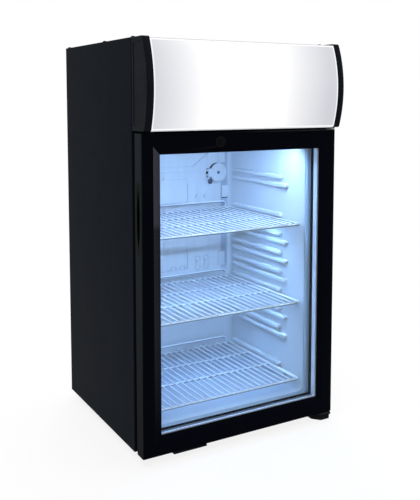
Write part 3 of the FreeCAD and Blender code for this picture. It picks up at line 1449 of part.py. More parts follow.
def rear_grille():
    gauge = dim.sheet_gauge
    face = rear - dim.grille_recess
    sheet_block = block("grille_sheet", (-inner_half, inner_half), (face - gauge, face),
                        (deck_top, top - gauge))
    shapes = []
    columns = int(dim.vent_columns)
    rows = int(dim.vent_rows)
    wide = float(dim.vent_width)
    high = float(dim.vent_height)
    flat = wide - high
    through = float(gauge) + 2
    gap = wide + high * 2
    first_x = float(coil_left) + wide / 2 - gap * 0.1
    first_z = float(deck_top) + float(dim.vent_pitch) * 2
    for column in range(columns):
        for row_number in range(rows):
            x = first_x + column * gap
            z = first_z + row_number * float(dim.vent_pitch)
            slot = Part.makeBox(flat, through, high, Vector(x - flat / 2, -1, z - high / 2))
            ends = [Part.makeCylinder(high / 2, through, Vector(x + side * flat / 2, -1, z), Vector(0, 1, 0))
                    for side in (-1, 1)]
            shapes.append(slot.multiFuse(ends))
    vents = place(coded("grille_vents", Part.makeCompound(shapes)), 0, face - gauge, 0)
    stem_hole = rod("grille_stem_hole", FRONTWARD, control_across, face + 1, top - dim.knob_drop,
                    dim.stem_radius * 1.5, gauge + 2)
    half_wide = dim.switch_width / 2
    half_high = dim.switch_height / 2
    switch_hole = block("grille_switch_hole", (control_across - half_wide, control_across + half_wide),
                        (face - gauge - 1, face + 1),
                        (top - dim.switch_drop - half_high, top - dim.switch_drop + half_high))
    gland_hole = rod("grille_gland_hole", FRONTWARD, control_across, face + 1, top - dim.gland_drop,
                     dim.gland_radius - gauge, gauge + 2)
    publish("rear_grille", cut("rear_grille", sheet_block, vents, stem_hole, switch_hole, gland_hole))
    controls(face, gauge, half_wide, half_high)


def controls(face, gauge, half_wide, half_high):
    x = control_across
    level = top - dim.knob_drop
    body_half = dim.thermostat_width / 2
    case = block("thermostat_case", (x - body_half, x + body_half),
                 (face - gauge - dim.thermostat_depth, face - gauge),
                 (level - body_half, level + body_half))
    stem = rod("thermostat_stem", FRONTWARD, x, face + dim.knob_depth * 0.7, level, dim.stem_radius,
               dim.knob_depth * 0.7 + gauge)
    publish("thermostat_body", fuse("thermostat_body", case, stem))
    skirt = dim.gasket_clearance
    knob_rim = dim.knob_radius
    knob = revolved("knob_turned", [
        (0, 0), (knob_rim, 0), (knob_rim, dim.knob_depth * 0.25), (knob_rim * 0.84, dim.knob_depth * 0.35),
        (knob_rim * 0.8, dim.knob_depth - skirt, 1), (0, dim.knob_depth - skirt)],
        x, face + skirt, level, Rotation(Vector(1, 0, 0), Vector(0, 0, -1), Vector(0, 1, 0), "XYZ"))
    knob_bore = rod("knob_bore", FRONTWARD, x, face + dim.knob_depth * 0.7 + dim.plug_clearance, level,
                    dim.stem_radius + dim.plug_clearance, dim.knob_depth)
    pointer = block("knob_pointer", (x - dim.key_slot / 2, x + dim.key_slot / 2),
                    (face + dim.knob_depth - 1, face + dim.knob_depth + 1),
                    (level + dim.stem_radius, level + knob_rim))
    publish("thermostat_knob", cut("thermostat_knob", knob, knob_bore, pointer))
    level = top - dim.switch_drop
    bezel = dim.switch_bezel
    plate = block("switch_bezel_plate", (x - half_wide - bezel, x + half_wide + bezel),
                  (face, face + gauge * 2),
                  (level - half_high - bezel, level + half_high + bezel))
    case = block("switch_case", (x - half_wide, x + half_wide), (face - gauge - dim.switch_depth, face),
                 (level - half_high, level + half_high))
    wall = gauge * 1.5
    room = block("switch_room", (x - half_wide + wall, x + half_wide - wall),
                 (face - dim.switch_depth * 0.6, face + gauge * 3),
                 (level - half_high + wall, level + half_high - wall))
    publish("switch_body", cut("switch_body", fuse("switch_blank", plate, case), room))
    rocker_half = float(half_high - wall - dim.rocker_clearance - dim.rocker_margin)
    tilt = math.radians(float(dim.rocker_tilt) / 2)
    rise = rocker_half * math.tan(tilt)
    proud = float(gauge) * 4
    sunk = float(dim.switch_depth) * 0.4
    rocker = [(-sunk, -rocker_half * 0.6), (proud - rise, -rocker_half), (proud - 2 * rise, 0),
              (proud, rocker_half), (-sunk, rocker_half * 0.6)]
    pivot = half_wide - wall - dim.rocker_clearance
    publish("switch_rocker", extrusion("switch_rocker", [outline_edges(rocker)], pivot * 2, SIDEWARD,
                                       x - pivot, face, level))
    level = top - dim.gland_drop
    flange = rod("gland_flange", FRONTWARD, x, face + dim.gland_depth / 2, level, dim.gland_radius,
                 dim.gland_depth / 2)
    shank = rod("gland_shank", FRONTWARD, x, face, level, dim.gland_radius - gauge, dim.gland_depth / 2)
    bore = rod("gland_hole", FRONTWARD, x, face + dim.gland_depth, level, dim.gland_bore,
               dim.gland_depth * 2)
    publish("cord_gland", cut("cord_gland", fuse("gland_blank", flange, shank), bore))


def check_and_write():
    """Stop on any failed object, then write one file for each sub-part."""
    doc.recompute()
    for item in doc.Objects:
        if "Invalid" in item.State or "Error" in item.State:
            raise RuntimeError(f"{item.Name} failed: {item.State}")
    for label, item in parts.items():
        shape = item.Shape
        if shape.isNull() or not shape.isValid() or not shape.Solids:
            raise RuntimeError(f"{label} has no valid solid")
    os.makedirs("parts", exist_ok=True)
    for label, item in parts.items():
        item.Shape.exportStep(f"parts/{label}.step")
        print(f"{label}: {len(item.Shape.Solids)} solids, {item.Shape.Volume / 1000:.2f} cm3")
    print(len(parts), "sub-parts")


body_sheets()
cover_screws()
liner_and_foam()
evaporator()
tube_cover()
cabinet_lamp()
shelves()
canopy()
door_rails()
handle_insert()
glazing()
gasket()
lock()
hinges()
feet_and_rest()
compressor()
condenser()
fan()
refrigerant_lines()
rear_grille()
check_and_write()
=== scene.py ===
"""Finishes, small fittings, lamps and a studio for the countertop display refrigerator.

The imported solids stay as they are. This file gives them their materials, adds the fittings that are too
small for the solids, and sets the floor, the lamps and the camera.
"""
import math

import bmesh
import bpy
from bpy.props import FloatProperty, FloatVectorProperty, IntProperty, PointerProperty
from bpy.types import Operator, Panel, PropertyGroup
from mathutils import Matrix, Vector


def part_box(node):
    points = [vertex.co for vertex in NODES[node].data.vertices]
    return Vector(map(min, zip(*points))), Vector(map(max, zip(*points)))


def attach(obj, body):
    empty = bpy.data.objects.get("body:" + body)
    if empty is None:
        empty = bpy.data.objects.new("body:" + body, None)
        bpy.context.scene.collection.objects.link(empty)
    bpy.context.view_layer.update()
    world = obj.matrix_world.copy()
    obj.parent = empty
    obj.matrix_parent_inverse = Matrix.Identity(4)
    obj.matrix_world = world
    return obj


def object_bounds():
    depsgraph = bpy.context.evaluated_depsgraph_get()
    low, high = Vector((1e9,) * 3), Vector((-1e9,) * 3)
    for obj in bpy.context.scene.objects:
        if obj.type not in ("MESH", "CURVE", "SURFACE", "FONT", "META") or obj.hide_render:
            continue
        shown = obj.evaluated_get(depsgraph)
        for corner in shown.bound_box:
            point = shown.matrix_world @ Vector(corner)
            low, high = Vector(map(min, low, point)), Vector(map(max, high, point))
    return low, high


bl_info = {
    "name": "Display Refrigerator Finishes",
    "version": (1, 0, 0),
    "blender": (4, 5, 0),
    "location": "View3D > Sidebar > Refrigerator",
    "description": "Finishes, fittings and a studio for a countertop display refrigerator",
    "category": "Object",
}

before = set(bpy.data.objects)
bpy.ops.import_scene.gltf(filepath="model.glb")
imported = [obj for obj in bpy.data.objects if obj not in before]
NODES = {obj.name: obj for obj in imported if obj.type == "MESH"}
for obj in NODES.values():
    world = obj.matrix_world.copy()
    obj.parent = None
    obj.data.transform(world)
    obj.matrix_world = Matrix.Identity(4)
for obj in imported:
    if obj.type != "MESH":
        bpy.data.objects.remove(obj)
CAD_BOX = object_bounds()
FRAME_WIDTH = 420
FRAME_HEIGHT = 500
SHELVES = ("lower", "middle", "upper")
SIDES = (-1, 1)

# Rings on the cold plate: inset from its side, height above a loop's foot, depth of the seat
PLATE_BAYS = 4
RINGED_LOOPS = 2
RING_PLACES = (
    (0.0405, 0.0185, 0.0018), (0.0405, 0.0385, 0.0018), (0.0630, 0.0185, 0.0018), (0.0630, 0.0385, 0.0018),
    (0.1045, 0.0200, 0.0010), (0.1270, 0.0200, 0.0010),
)
RING_RADIUS = 0.0068
RING_WIDTH = 0.0034
RING_RISE = 0.0010

# Screw of the tube cover, and the grommet below it with its slots
TUBE_SCREW_RADIUS = 0.0036
TUBE_SCREW_RISE = 0.0016
GROMMET_LEFT = 0.0192
GROMMET_DROP = 0.0214
GROMMET_SEAT = 0.0016
GROMMET_PROFILE = ((1.0, 0.0), (1.0, 0.0016), (0.88, 0.0026), (0.5, 0.0028), (0.42, 0.0018), (0.2, 0.0018))
GROMMET_SLOT_ANGLES = (35, 95, 155)
GROMMET_SLOT_START = 0.48
GROMMET_SLOT_REACH = 0.34
GROMMET_SLOT_HALF = 0.0007
GROMMET_SLOT_LIFT = 0.0024
GROMMET_SLOT_DEPTH = 0.0006

# Bracket beside the cold plate, and the dark strip at its foot, a painted shadow: places, half width and
# half height, corner, depth
BRACKET_OFFSET = 0.0105
BRACKET_DROP = 0.048
BRACKET_OUTLINE = (0.009, 0.015, 0.002)
BRACKET_DEPTH = 0.0045
FOOT_SHADOW_SEAT = 0.0043
FOOT_SHADOW_DROP = 0.0138
FOOT_SHADOW_OUTLINE = (0.0085, 0.0011, 0.0004)
FOOT_SHADOW_DEPTH = 0.0004

# Screws: the pan head as pairs of shares of its radius and its rise, then places and recesses
PAN_HEAD = ((1.0, 0.0), (1.0, 0.35), (0.93, 0.62), (0.78, 0.84), (0.55, 0.96), (0.3, 1.0))
COVER_HEAD = 0.004
COVER_MIDDLE = -0.0022
COVER_SINK = 0.0004
COVER_RECESS_SHARE = 0.62
REAR_SINK = 0.0005
REAR_INSET = 0.0085
REAR_LEVELS = (0.04, 0.28, 0.52, 0.76, 0.97)
RECESS_PROUD = 0.00005

# Shelf wires: shares of a wire's radius for its ends and welds, the welds' radii, and sides of each bead
TIP_SWELL = 1.02
TIP_DEPTH = 0.7
WELD_SINK = 0.9
WELD_RADII = (0.0024, 0.0024, 0.0014)
WELD_SIDES = 8
DECK_TIP_SIDES = 10
RIM_TIP_SIDES = 12

# Ticks round the thermostat: angles in degrees, half width of the first one, growth and thickness
FIRST_TICK = 225.0
TICK_SWEEP = 270.0
TICK_HALF = 0.0003
TICK_GROWTH = 0.00016
TICK_RISE = 0.00012

# Lamps: LEDs below the cabinet lamp, soft strips under two shelves, and the studio's lamps
LED_SIZE = 0.012
LED_GAP = 0.0015
LED_SPREAD = math.radians(172)
LED_TILT = math.radians(18)
BAY_SPREAD = math.radians(140)
BAY_WIDTH = 0.9
BAY_DEPTH = 0.010
BAY_SETBACK = 0.090
BAY_GAP = 0.004
STUDIO_LAMPS = (
    ("key", (-1.5, -1.6, 1.9), 1.4), ("fill", (1.7, -1.2, 1.3), 1.4),
    ("rear", (0.7, 2.2, 1.5), 1.6), ("top", (0.0, -0.2, 2.6), 3.2),
)

# Studio's floor: half its width, gap below the feet, and the fade of its shadow
FLOOR_HALF = 6.0
FLOOR_GAP = 0.0002
SHADOW_REACH = 0.5
SHADOW_FADE = 0.7
SHADOW_SHARE = 0.15
CLIP_START = 0.05
CLIP_END = 50.0

# Painted reflections on the door's left stile: pairs of height in metres and strength
REVEAL_REFLECTION_STOPS = ((0.06, 0.0), (0.25, 0.30), (0.435, 0.32), (0.445, 0.85))
FLANK_REFLECTION_STOPS = ((0.05, 0.0), (0.55, 1.0))

MERGE_REACH = 0.00001
BEVEL_ANGLE = math.radians(40)
SMOOTH_ANGLE = math.radians(35)
GLASS_REFLECTION = 0.04
GLASS_GLOSS_SHARE = 0.2
FRONT = Vector((0.0, -1.0, 0.0))
REAR = Vector((0.0, 1.0, 0.0))
UP = Vector((0.0, 0.0, 1.0))


def tint(name, description, value):
    return FloatVectorProperty(name=name, description=description, default=value, subtype="COLOR",
                               size=3, min=0.0, max=1.0)


def length(name, description, value):
    return FloatProperty(name=name, description=description, default=value, unit="LENGTH", min=0.0)


def spot(name, description, value):
    return FloatVectorProperty(name=name, description=description, default=value, subtype="TRANSLATION",
                               size=3)


def wattage(name, description, value):
    return FloatProperty(name=name, description=description, default=value, unit="POWER", min=0.0)


def rotation(name, description, value):
    return FloatProperty(name=name, description=description, default=value, subtype="ANGLE",
                         unit="ROTATION")


def pixels(name, description, value):
    return FloatProperty(name=name, description=description, default=value, subtype="PIXEL")


def quantity(name, description, value):
    return IntProperty(name=name, description=description, default=value, min=2)


class FinishColours(PropertyGroup):
    """Colours of the refrigerator's finishes."""

    body_paint: tint("Body paint", "Powder coat of the side panels and covers", (0.0070, 0.0099, 0.0154))
    door_black: tint("Door black", "Gloss black of the door's rails", (0.0019, 0.0025, 0.0052))
    # Painted reflections on the left stile's outer face and reveal
    flank_painted_reflection: tint("Flank sheen", "Upper part of the left stile's outer face", (0.016, 0.021, 0.024))
    reveal_painted_reflection: tint("Reveal sheen", "Sloping inner edge of the left stile", (0.026, 0.022, 0.036))
    cap_black: tint("Cap black", "Moulded ends of the canopy", (0.0065, 0.0080, 0.0115))
    fitting_black: tint("Fitting black", "Handle, hinge cap, knob and gland", (0.010, 0.011, 0.013))
    rubber_black: tint("Rubber black", "Feet and mounts", (0.011, 0.011, 0.013))
    gasket_grey: tint("Gasket grey", "Door's magnetic gasket", (0.66, 0.78, 0.94))
    liner_white: tint("Liner white", "Moulded inner liner", (0.70, 0.72, 0.75))
    plate_white: tint("Plate white", "Coated evaporator plate", (0.72, 0.735, 0.76))
    wire_white: tint("Wire white", "Plastic coat of the shelf wires", (0.95, 0.955, 0.96))
    tray_white: tint("Tray white", "Painted sheet behind the lit panel", (0.82, 0.82, 0.82))
    panel_white: tint("Panel white", "Opal acrylic of the canopy", (0.12, 0.12, 0.122))
    zinc: tint("Zinc", "Plated brackets and screws", (0.50, 0.51, 0.53))
    lock_black: tint("Lock black", "Black chrome of the lock", (0.006, 0.006, 0.007))
    aluminium: tint("Aluminium", "Spacer bar, rail and fins", (0.72, 0.74, 0.76))
    spacer_white: tint("Spacer white", "Bright spacer bar between the panes", (0.78, 0.86, 0.98))
    copper: tint("Copper", "Refrigerant lines", (0.68, 0.36, 0.22))
    iron_black: tint("Iron black", "Compressor enamel", (0.012, 0.012, 0.013))
    foam_cream: tint("Foam cream", "Insulation", (0.74, 0.62, 0.36))
    dust: tint("Dust", "Dust on upward faces", (0.17, 0.165, 0.155))
    plug_grey: tint("Plug grey", "Grommet and screw on the cold plate", (0.10, 0.13, 0.20))
    mark_white: tint("Mark white", "Printed ticks of the thermostat", (0.75, 0.75, 0.74))
    recess_dark: tint("Recess dark", "Bottom of a screw's recess", (0.012, 0.012, 0.012))
    # Painted shade on the liner beside the plate, on its floor and at its mouth
    liner_painted_shade: tint("Liner shade", "Liner beside the plate and on its floor", (0.26, 0.34, 0.47))
    mouth_painted_shade: tint("Mouth blue", "Liner's mouth beside the gasket", (0.44, 0.55, 0.68))
    # Painted shade under the shelf wires
    wire_painted_shade: tint("Wire shade", "Underside of the shelf wires", (0.22, 0.29, 0.40))
    # Painted shade on the spacer bar's rear half
    spacer_painted_shade: tint("Sealant", "Sealed rear half of the spacer bar", (0.02, 0.03, 0.06))
    glass_gloss: tint("Glass gloss", "Reflection of the panes", (0.72, 0.78, 0.77))
    glass_clear: tint("Glass clear", "Light through the panes", (0.965, 0.985, 0.98))
    panel_glow: tint("Panel glow", "Middle of the lit panel", (0.99, 0.99, 0.99))
    panel_end: tint("Panel end", "Ends of the lit panel", (0.54, 0.545, 0.59))
    panel_rim: tint("Panel rim", "Cut edge of the lit panel", (0.90, 0.90, 0.91))
    canopy_glow: tint("Canopy glow", "Light of the canopy's lamp", (1.0, 1.0, 1.0))
    lens_shade: tint("Lens shade", "Lamp's lens between its spots", (0.55, 0.57, 0.6))
    lens_clear: tint("Lens clear", "Lamp's lens at its spots", (0.7, 0.72, 0.74))
    floor_low: tint("Floor low", "Darker clouds of the studio's floor", (0.93, 0.93, 0.93))
    floor_high: tint("Floor high", "Lighter clouds of the studio's floor", (0.95, 0.95, 0.95))
    floor_bounce: tint("Floor bounce", "Studio's floor as it lights the part", (0.42, 0.42, 0.42))


class FittingSizes(PropertyGroup):
    """Sizes of the small fittings and softened edges."""

    edge_break: length("Edge break", "Softened edge of sheet and rails", 0.0005)
    moulded_break: length("Moulded break", "Softened edge of moulded ends", 0.0012)
    blown_break: length("Blown break", "Softened edge of the plate's blown channels", 0.0007)
    deck_wire: length("Deck wire", "Radius of a shelf's deck wires", 0.0015)
    rim_wire: length("Rim wire", "Radius of a shelf's bent front wire", 0.0025)
    wire_margin: length("Wire margin", "Shelf's side to its last deck wire", 0.0118)
    wire_count: quantity("Deck wires", "Deck wires on one shelf", 23)
    cross_count: quantity("Cross wires", "Cross wires behind the front one", 3)
    front_bay: length("Front bay", "Front wire to the first cross wire", 0.104)
    rear_bay: length("Rear bay", "Last cross wire to the shelf's rear ends", 0.0045)
    head_radius: length("Screw head", "Radius of a rear panel screw's head", 0.0042)
    head_rise: length("Screw head rise", "Height of a rear panel screw's head", 0.0019)
    recess_reach: length("Recess reach", "Arm of a cross recess", 0.0024)
    recess_width: length("Recess width", "Width of a cross recess", 0.0008)
    tick_inner: length("Tick inner radius", "Thermostat's ticks from its stem", 0.0160)
    tick_outer: length("Tick outer radius", "Thermostat's ticks from its stem", 0.0195)
    tick_count: quantity("Ticks", "Ticks round the thermostat", 7)
    grommet_radius: length("Grommet radius", "Push-in grommet on the plate", 0.0060)


class LampSettings(PropertyGroup):
    """Lamps inside the refrigerator and in the studio."""

    led_colour: tint("LED colour", "Cool light of the cabinet lamp", (0.36, 0.56, 1.0))
    bay_colour: tint("Bay colour", "Light that reaches the lower bays", (0.25, 0.49, 1.0))
    led_power: wattage("LED power", "All LEDs of the cabinet lamp", 1.36)
    led_count: quantity("LEDs", "LEDs along the cabinet lamp", 15)
    middle_bay_power: wattage("Middle bay power", "Soft light under the upper shelf", 0.512)
    lower_bay_power: wattage("Lower bay power", "Soft light under the middle shelf", 0.176)
    key_power: wattage("Key power", "Soft lamp at the left", 9.0)
    fill_power: wattage("Fill power", "Soft lamp at the right", 3.5)
    rear_power: wattage("Rear power", "Soft lamp behind", 45.0)
    top_power: wattage("Top power", "Soft lamp overhead", 46.0)
    sky_strength: FloatProperty(name="Sky strength", description="Even light of the studio", default=0.42,
                                min=0.0)


class CameraSettings(PropertyGroup):
    """Place of the camera."""

    location: spot("Location", "Camera's place", (-0.74900, -1.35037, 0.66637))
    yaw: rotation("Yaw", "Turn to the right of straight ahead", 0.5229)
    pitch: rotation("Pitch", "Tilt below the horizon", 0.0892)
    focal: pixels("Focal length", "Focal length in pixels of the frame", 738.28)
    centre_x: pixels("Centre across", "Optical centre in the frame", 211.0)
    centre_y: pixels("Centre down", "Optical centre in the frame", 165.0)


def settings():
    return bpy.context.scene.refrigerator


# Materials from expressions

class Signal:
    """A value, colour or vector in a material, with Python's operators for values."""

    def __init__(self, finish, socket):
        self.finish = finish
        self.socket = socket

    def math(self, operation, first, second):
        return self.finish.node("ShaderNodeMath", {"operation": operation}, {0: first, 1: second})

    def __add__(self, other):
        return self.math("ADD", self, other)

    def __radd__(self, other):
        return self.math("ADD", other, self)

    def __sub__(self, other):
        return self.math("SUBTRACT", self, other)

    def __rsub__(self, other):
        return self.math("SUBTRACT", other, self)

    def __mul__(self, other):
        return self.math("MULTIPLY", self, other)

    def __rmul__(self, other):
        return self.math("MULTIPLY", other, self)

    def __truediv__(self, other):
        return self.math("DIVIDE", self, other)

    def __rtruediv__(self, other):
        return self.math("DIVIDE", other, self)

    def __pow__(self, other):
        return self.math("POWER", self, other)

    def __rpow__(self, other):
        return self.math("POWER", other, self)


class Finish:
    """A material, or a world, whose nodes are made by expressions."""

    def __init__(self, name, world=False):
        self.block = (bpy.data.worlds if world else bpy.data.materials).new(name)
        self.block.use_nodes = True
        self.output = "ShaderNodeOutputWorld" if world else "ShaderNodeOutputMaterial"
        self.tree = self.block.node_tree
        self.tree.nodes.clear()
        self.place = self.node("ShaderNodeTexCoord", output="Object")

    def node(self, kind, choices=None, sockets=None, output=0):
        """One node: its settings first, then the values or links of its sockets."""
        made = self.tree.nodes.new(kind)
        for name, value in (choices or {}).items():
            if name == "stops":
                self.set_stops(made.color_ramp, value)
            else:
                setattr(made, name, value)
        for name, value in (sockets or {}).items():
            if isinstance(value, Signal):
                self.tree.links.new(value.socket, made.inputs[name])
            else:
                made.inputs[name].default_value = value
        return Signal(self, made.outputs[output]) if made.outputs else None

    def set_stops(self, ramp, stops):
        while len(ramp.elements) < len(stops):
            ramp.elements.new(1.0)
        for element, (position, level) in zip(ramp.elements, stops):
            element.position = position
            element.color = (level, level, level, 1.0)

    def noise(self, size, detail=2.0, roughness=0.5, stretch=(1.0, 1.0, 1.0)):
        """Noise whose features are about as large as size, in metres."""
        place = self.node("ShaderNodeVectorMath", {"operation": "MULTIPLY"}, {0: self.place, 1: stretch})
        return self.node("ShaderNodeTexNoise", None,
                         {"Vector": place, "Scale": 1.0 / size, "Detail": detail, "Roughness": roughness})

    def ramp(self, value, *stops):
        return self.node("ShaderNodeValToRGB", {"stops": stops}, {"Fac": value})

    def clamp(self, value):
        return self.node("ShaderNodeClamp", None, {"Value": value})

    def step(self, value, start, width):
        """Zero up to a start and one past a width, which is negative to step the other way."""
        return self.clamp((value - start) / width)

    def wave(self, value, span):
        """Zero to one over a span and back over the next."""
        return self.node("ShaderNodeMath", {"operation": "PINGPONG"}, {0: value, 1: span}) / span

    def blend(self, share, first, second):
        """Colour between two colours."""
        ends = [value if isinstance(value, Signal) else (*value, 1.0) for value in (first, second)]
        return self.node("ShaderNodeMix", {"data_type": "RGBA"}, {0: share, 6: ends[0], 7: ends[1]}, 2)

    def size(self, value):
        """A value without its sign."""
        return self.node("ShaderNodeMath", {"operation": "ABSOLUTE"}, {0: value})

    def along(self, axis):
        return self.node("ShaderNodeSeparateXYZ", None, {0: self.place}, axis)

    def facing(self, axis):
        geometry = self.node("ShaderNodeNewGeometry", output="Normal")
        return self.node("ShaderNodeSeparateXYZ", None, {0: geometry}, axis)

    def bump(self, height, distance, strength):
        return self.node("ShaderNodeBump", None,
                         {"Height": height, "Distance": distance, "Strength": strength})

    def principled(self, **sockets):
        named = {}
        for name, value in sockets.items():
            named[name.replace("_", " ").title().replace("Ior", "IOR")] = value
        for name in ("Base Color", "Emission Color"):
            if name in named and not isinstance(named[name], Signal):
                named[name] = (*named[name], 1.0)
        return self.node("ShaderNodeBsdfPrincipled", None, named)

    def done(self, shader):
        self.node(self.output, None, {"Surface": shader})
        return self.block


def shade(colour, factor):
    return tuple(min(1.0, channel * factor) for channel in colour)


def powder_coat(name, paint):
    """Sheet steel with a fine orange-peel coat and a little dust on top."""
    finish = Finish(name)
    peel = finish.noise(0.0016, 2.0)
    mottle = finish.noise(0.09, 4.0, 0.6)
    dusty = finish.clamp(finish.facing("Z") - 0.6) * finish.noise(0.05, 5.0, 0.7) * 0.5
    body = finish.blend(mottle, shade(paint, 0.88), shade(paint, 1.14))
    return finish.done(finish.principled(
        base_color=finish.blend(dusty, body, settings().colours.dust),
        roughness=finish.noise(0.03, 3.0) * 0.12 + 0.36 + dusty * 0.4,
        specular_ior_level=0.006,
        normal=finish.bump(peel, 0.00012, 0.35)))


def gloss_rail(name, paint):
    """Black gloss profile with faint wiping marks, a drawn grain, and painted reflections on the left
    stile's reveal and outer face.
    """
    finish = Finish(name)
    wipe = finish.noise(0.02, 4.0, 0.65, (1.0, 1.0, 0.25))
    smear = finish.ramp(finish.noise(0.11, 3.0), (0.42, 0.0), (0.70, 1.0))
    grain = finish.noise(0.0012, 1.0, 0.5, (1.0, 1.0, 0.04))
    height = finish.along("Z")
    # Painted reflection on the reveal, which slopes to the right and front, set by height
    slope = finish.clamp(finish.facing("X")) * finish.clamp(0.0 - finish.facing("Y"))
    reveal_reflection = finish.clamp(slope * 4.0) * finish.ramp(height, *REVEAL_REFLECTION_STOPS)
    # Painted reflection on the left stile's outer face, lighter towards the top
    leftward = finish.clamp(0.0 - finish.facing("X")) * finish.clamp(0.0 - finish.along("X") * 20.0)
    flank_reflection = leftward * finish.ramp(height, *FLANK_REFLECTION_STOPS)
    body = finish.blend(finish.noise(0.2, 2.0), shade(paint, 0.85), shade(paint, 1.25))
    lit = finish.blend(reveal_reflection, body, settings().colours.reveal_painted_reflection)
    return finish.done(finish.principled(
        base_color=finish.blend(flank_reflection, lit, settings().colours.flank_painted_reflection),
        roughness=wipe * 0.05 + 0.13 + smear * 0.06,
        specular_ior_level=0.008,
        coat_weight=reveal_reflection * 0.5,
        normal=finish.bump(grain, 0.00002, 0.25)))


def moulded_black(name, paint, texture=0.0009):
    """Moulded plastic with an eroded texture."""
    finish = Finish(name)
    grit = finish.noise(texture, 3.0, 0.6)
    worn = finish.ramp(finish.noise(0.03, 4.0, 0.6), (0.45, 0.0), (0.75, 1.0))
    return finish.done(finish.principled(
        base_color=finish.blend(worn, paint, shade(paint, 1.3)),
        roughness=finish.noise(0.012, 3.0) * 0.12 + 0.42 - worn * 0.06,
        specular_ior_level=0.02,
        normal=finish.bump(grit, 0.00010, 0.5)))


def rubber(name, paint, bloom_share=0.5, bloom_shade=1.6, base_roughness=0.66, upward_shade_share=0.0):
    """Rubber with a bloom, fine moulding lines and, by its share, painted shade where it faces up."""
    finish = Finish(name)
    bloom = finish.ramp(finish.noise(0.02, 4.0, 0.65), (0.4, 0.0), (0.8, 1.0))
    # Painted shade on faces that point up
    upward_shade = finish.clamp(finish.facing("Z") * 1.5) * upward_shade_share
    body = finish.blend(bloom * bloom_share, paint, shade(paint, bloom_shade))
    return finish.done(finish.principled(
        base_color=finish.blend(upward_shade, body, shade(paint, 0.3)),
        roughness=bloom * 0.16 + base_roughness,
        specular_ior_level=0.2,
        normal=finish.bump(finish.noise(0.0007, 2.0), 0.00008, 0.5)))


def liner_plastic(name, paint):
    """White vacuum-formed plastic, with painted shade in its recess beside the plate, a painted shadow on
    its floor under the lowest shelf, and painted shade at its mouth.
    """
    finish = Finish(name)
    stretch = finish.noise(0.05, 3.0, 0.6)
    speck = finish.ramp(finish.noise(0.004, 2.0), (0.66, 0.0), (0.74, 1.0))
    body = finish.blend(stretch, shade(paint, 0.97), shade(paint, 1.02))
    worn = finish.blend(speck * 0.10, body, shade(paint, 0.7))
    colours = settings().colours
    plate_low, plate_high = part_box("evaporator_plate")
    shelf_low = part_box("shelf_lower")[0]
    mouth_depth = 0.011
    mouth_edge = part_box("inner_liner")[0].y + mouth_depth
    crisp = 0.002
    soft = 0.02
    depth = finish.along("Y")
    height = finish.along("Z")
    # Painted shade on the back wall's recess beside the plate
    recess_shade = (finish.step(depth, plate_low.y + crisp, crisp) * finish.step(height, plate_low.z, soft)
              * finish.step(finish.along("X"), plate_high.x, crisp))
    # Painted shadow on the floor under the lowest shelf
    floor = (finish.step(height, shelf_low.z, -soft / 2) * finish.clamp(finish.facing("Z"))
             * finish.step(depth, shelf_low.y, soft))
    shaded = finish.blend(finish.clamp(recess_shade * 0.6 + floor * 0.45), worn, colours.liner_painted_shade)
    return finish.done(finish.principled(
        # Painted shade at the mouth beside the gasket
        base_color=finish.blend(finish.step(depth, mouth_edge, -crisp * 1.5), shaded, colours.mouth_painted_shade),
        roughness=finish.noise(0.02, 3.0) * 0.14 + 0.30,
        normal=finish.bump(finish.noise(0.0035, 2.0), 0.00012, 0.3)))


def coated_plate(name, paint, run_shade=0.86, blown=False):
    """Painted sheet with a faint rolling grain and drip marks, and painted shade on the slopes of blown
    channels, darkest on slopes that face up.
    """
    finish = Finish(name)
    grain = finish.noise(0.004, 2.0, 0.5, (0.12, 1.0, 1.0))
    runs = finish.noise(0.012, 3.0, 0.6, (1.0, 1.0, 0.12))
    body = finish.blend(finish.ramp(runs, (0.4, 0.0), (0.8, 1.0)), paint, shade(paint, run_shade))
    if blown:
        # Painted shade on the slopes of blown channels, darkest on slopes that face up
        slope = finish.ramp(0.0 - finish.facing("Y"), (0.60, 1.0), (0.97, 0.0))
        upper = finish.clamp(finish.facing("Z") * 1.6)
        edge = finish.blend(upper, shade(paint, 0.35), shade(paint, 0.02))
        body = finish.blend(slope * (upper * 0.28 + 0.7), body, edge)
    return finish.done(finish.principled(
        base_color=body,
        roughness=grain * 0.16 + 0.26,
        normal=finish.bump(grain, 0.00010, 0.3)))


def wire_coat(name, paint):
    """Thick glossy plastic on steel wire, greyer where it has rubbed, with painted shade underneath."""
    finish = Finish(name)
    rubbed = finish.ramp(finish.noise(0.009, 4.0, 0.7), (0.62, 0.0), (0.78, 1.0))
    # Painted shade on the wires' undersides
    underside_shade = finish.ramp(finish.facing("Z") * 0.5 + 0.5, (0.28, 1.0), (0.56, 0.0))
    body = finish.blend(rubbed * 0.35, paint, shade(paint, 0.62))
    return finish.done(finish.principled(
        base_color=finish.blend(underside_shade, body, settings().colours.wire_painted_shade),
        roughness=finish.noise(0.005, 2.0) * 0.12 + 0.2,
        normal=finish.bump(finish.noise(0.0022, 2.0), 0.00015, 0.4)))


def plated_metal(name, paint, base_roughness, grain_stretch=(1.0, 1.0, 1.0)):
    """Bare or plated metal with a brushed grain and a few stains."""
    finish = Finish(name)
    grain = finish.noise(0.0012, 2.0, 0.6, grain_stretch)
    stain = finish.ramp(finish.noise(0.012, 4.0, 0.65), (0.5, 0.0), (0.8, 1.0))
    return finish.done(finish.principled(
        base_color=finish.blend(stain * 0.5, paint, shade(paint, 0.55)),
        metallic=1.0,
        roughness=grain * 0.14 + base_roughness + stain * 0.12,
        normal=finish.bump(grain, 0.00004, 0.3)))


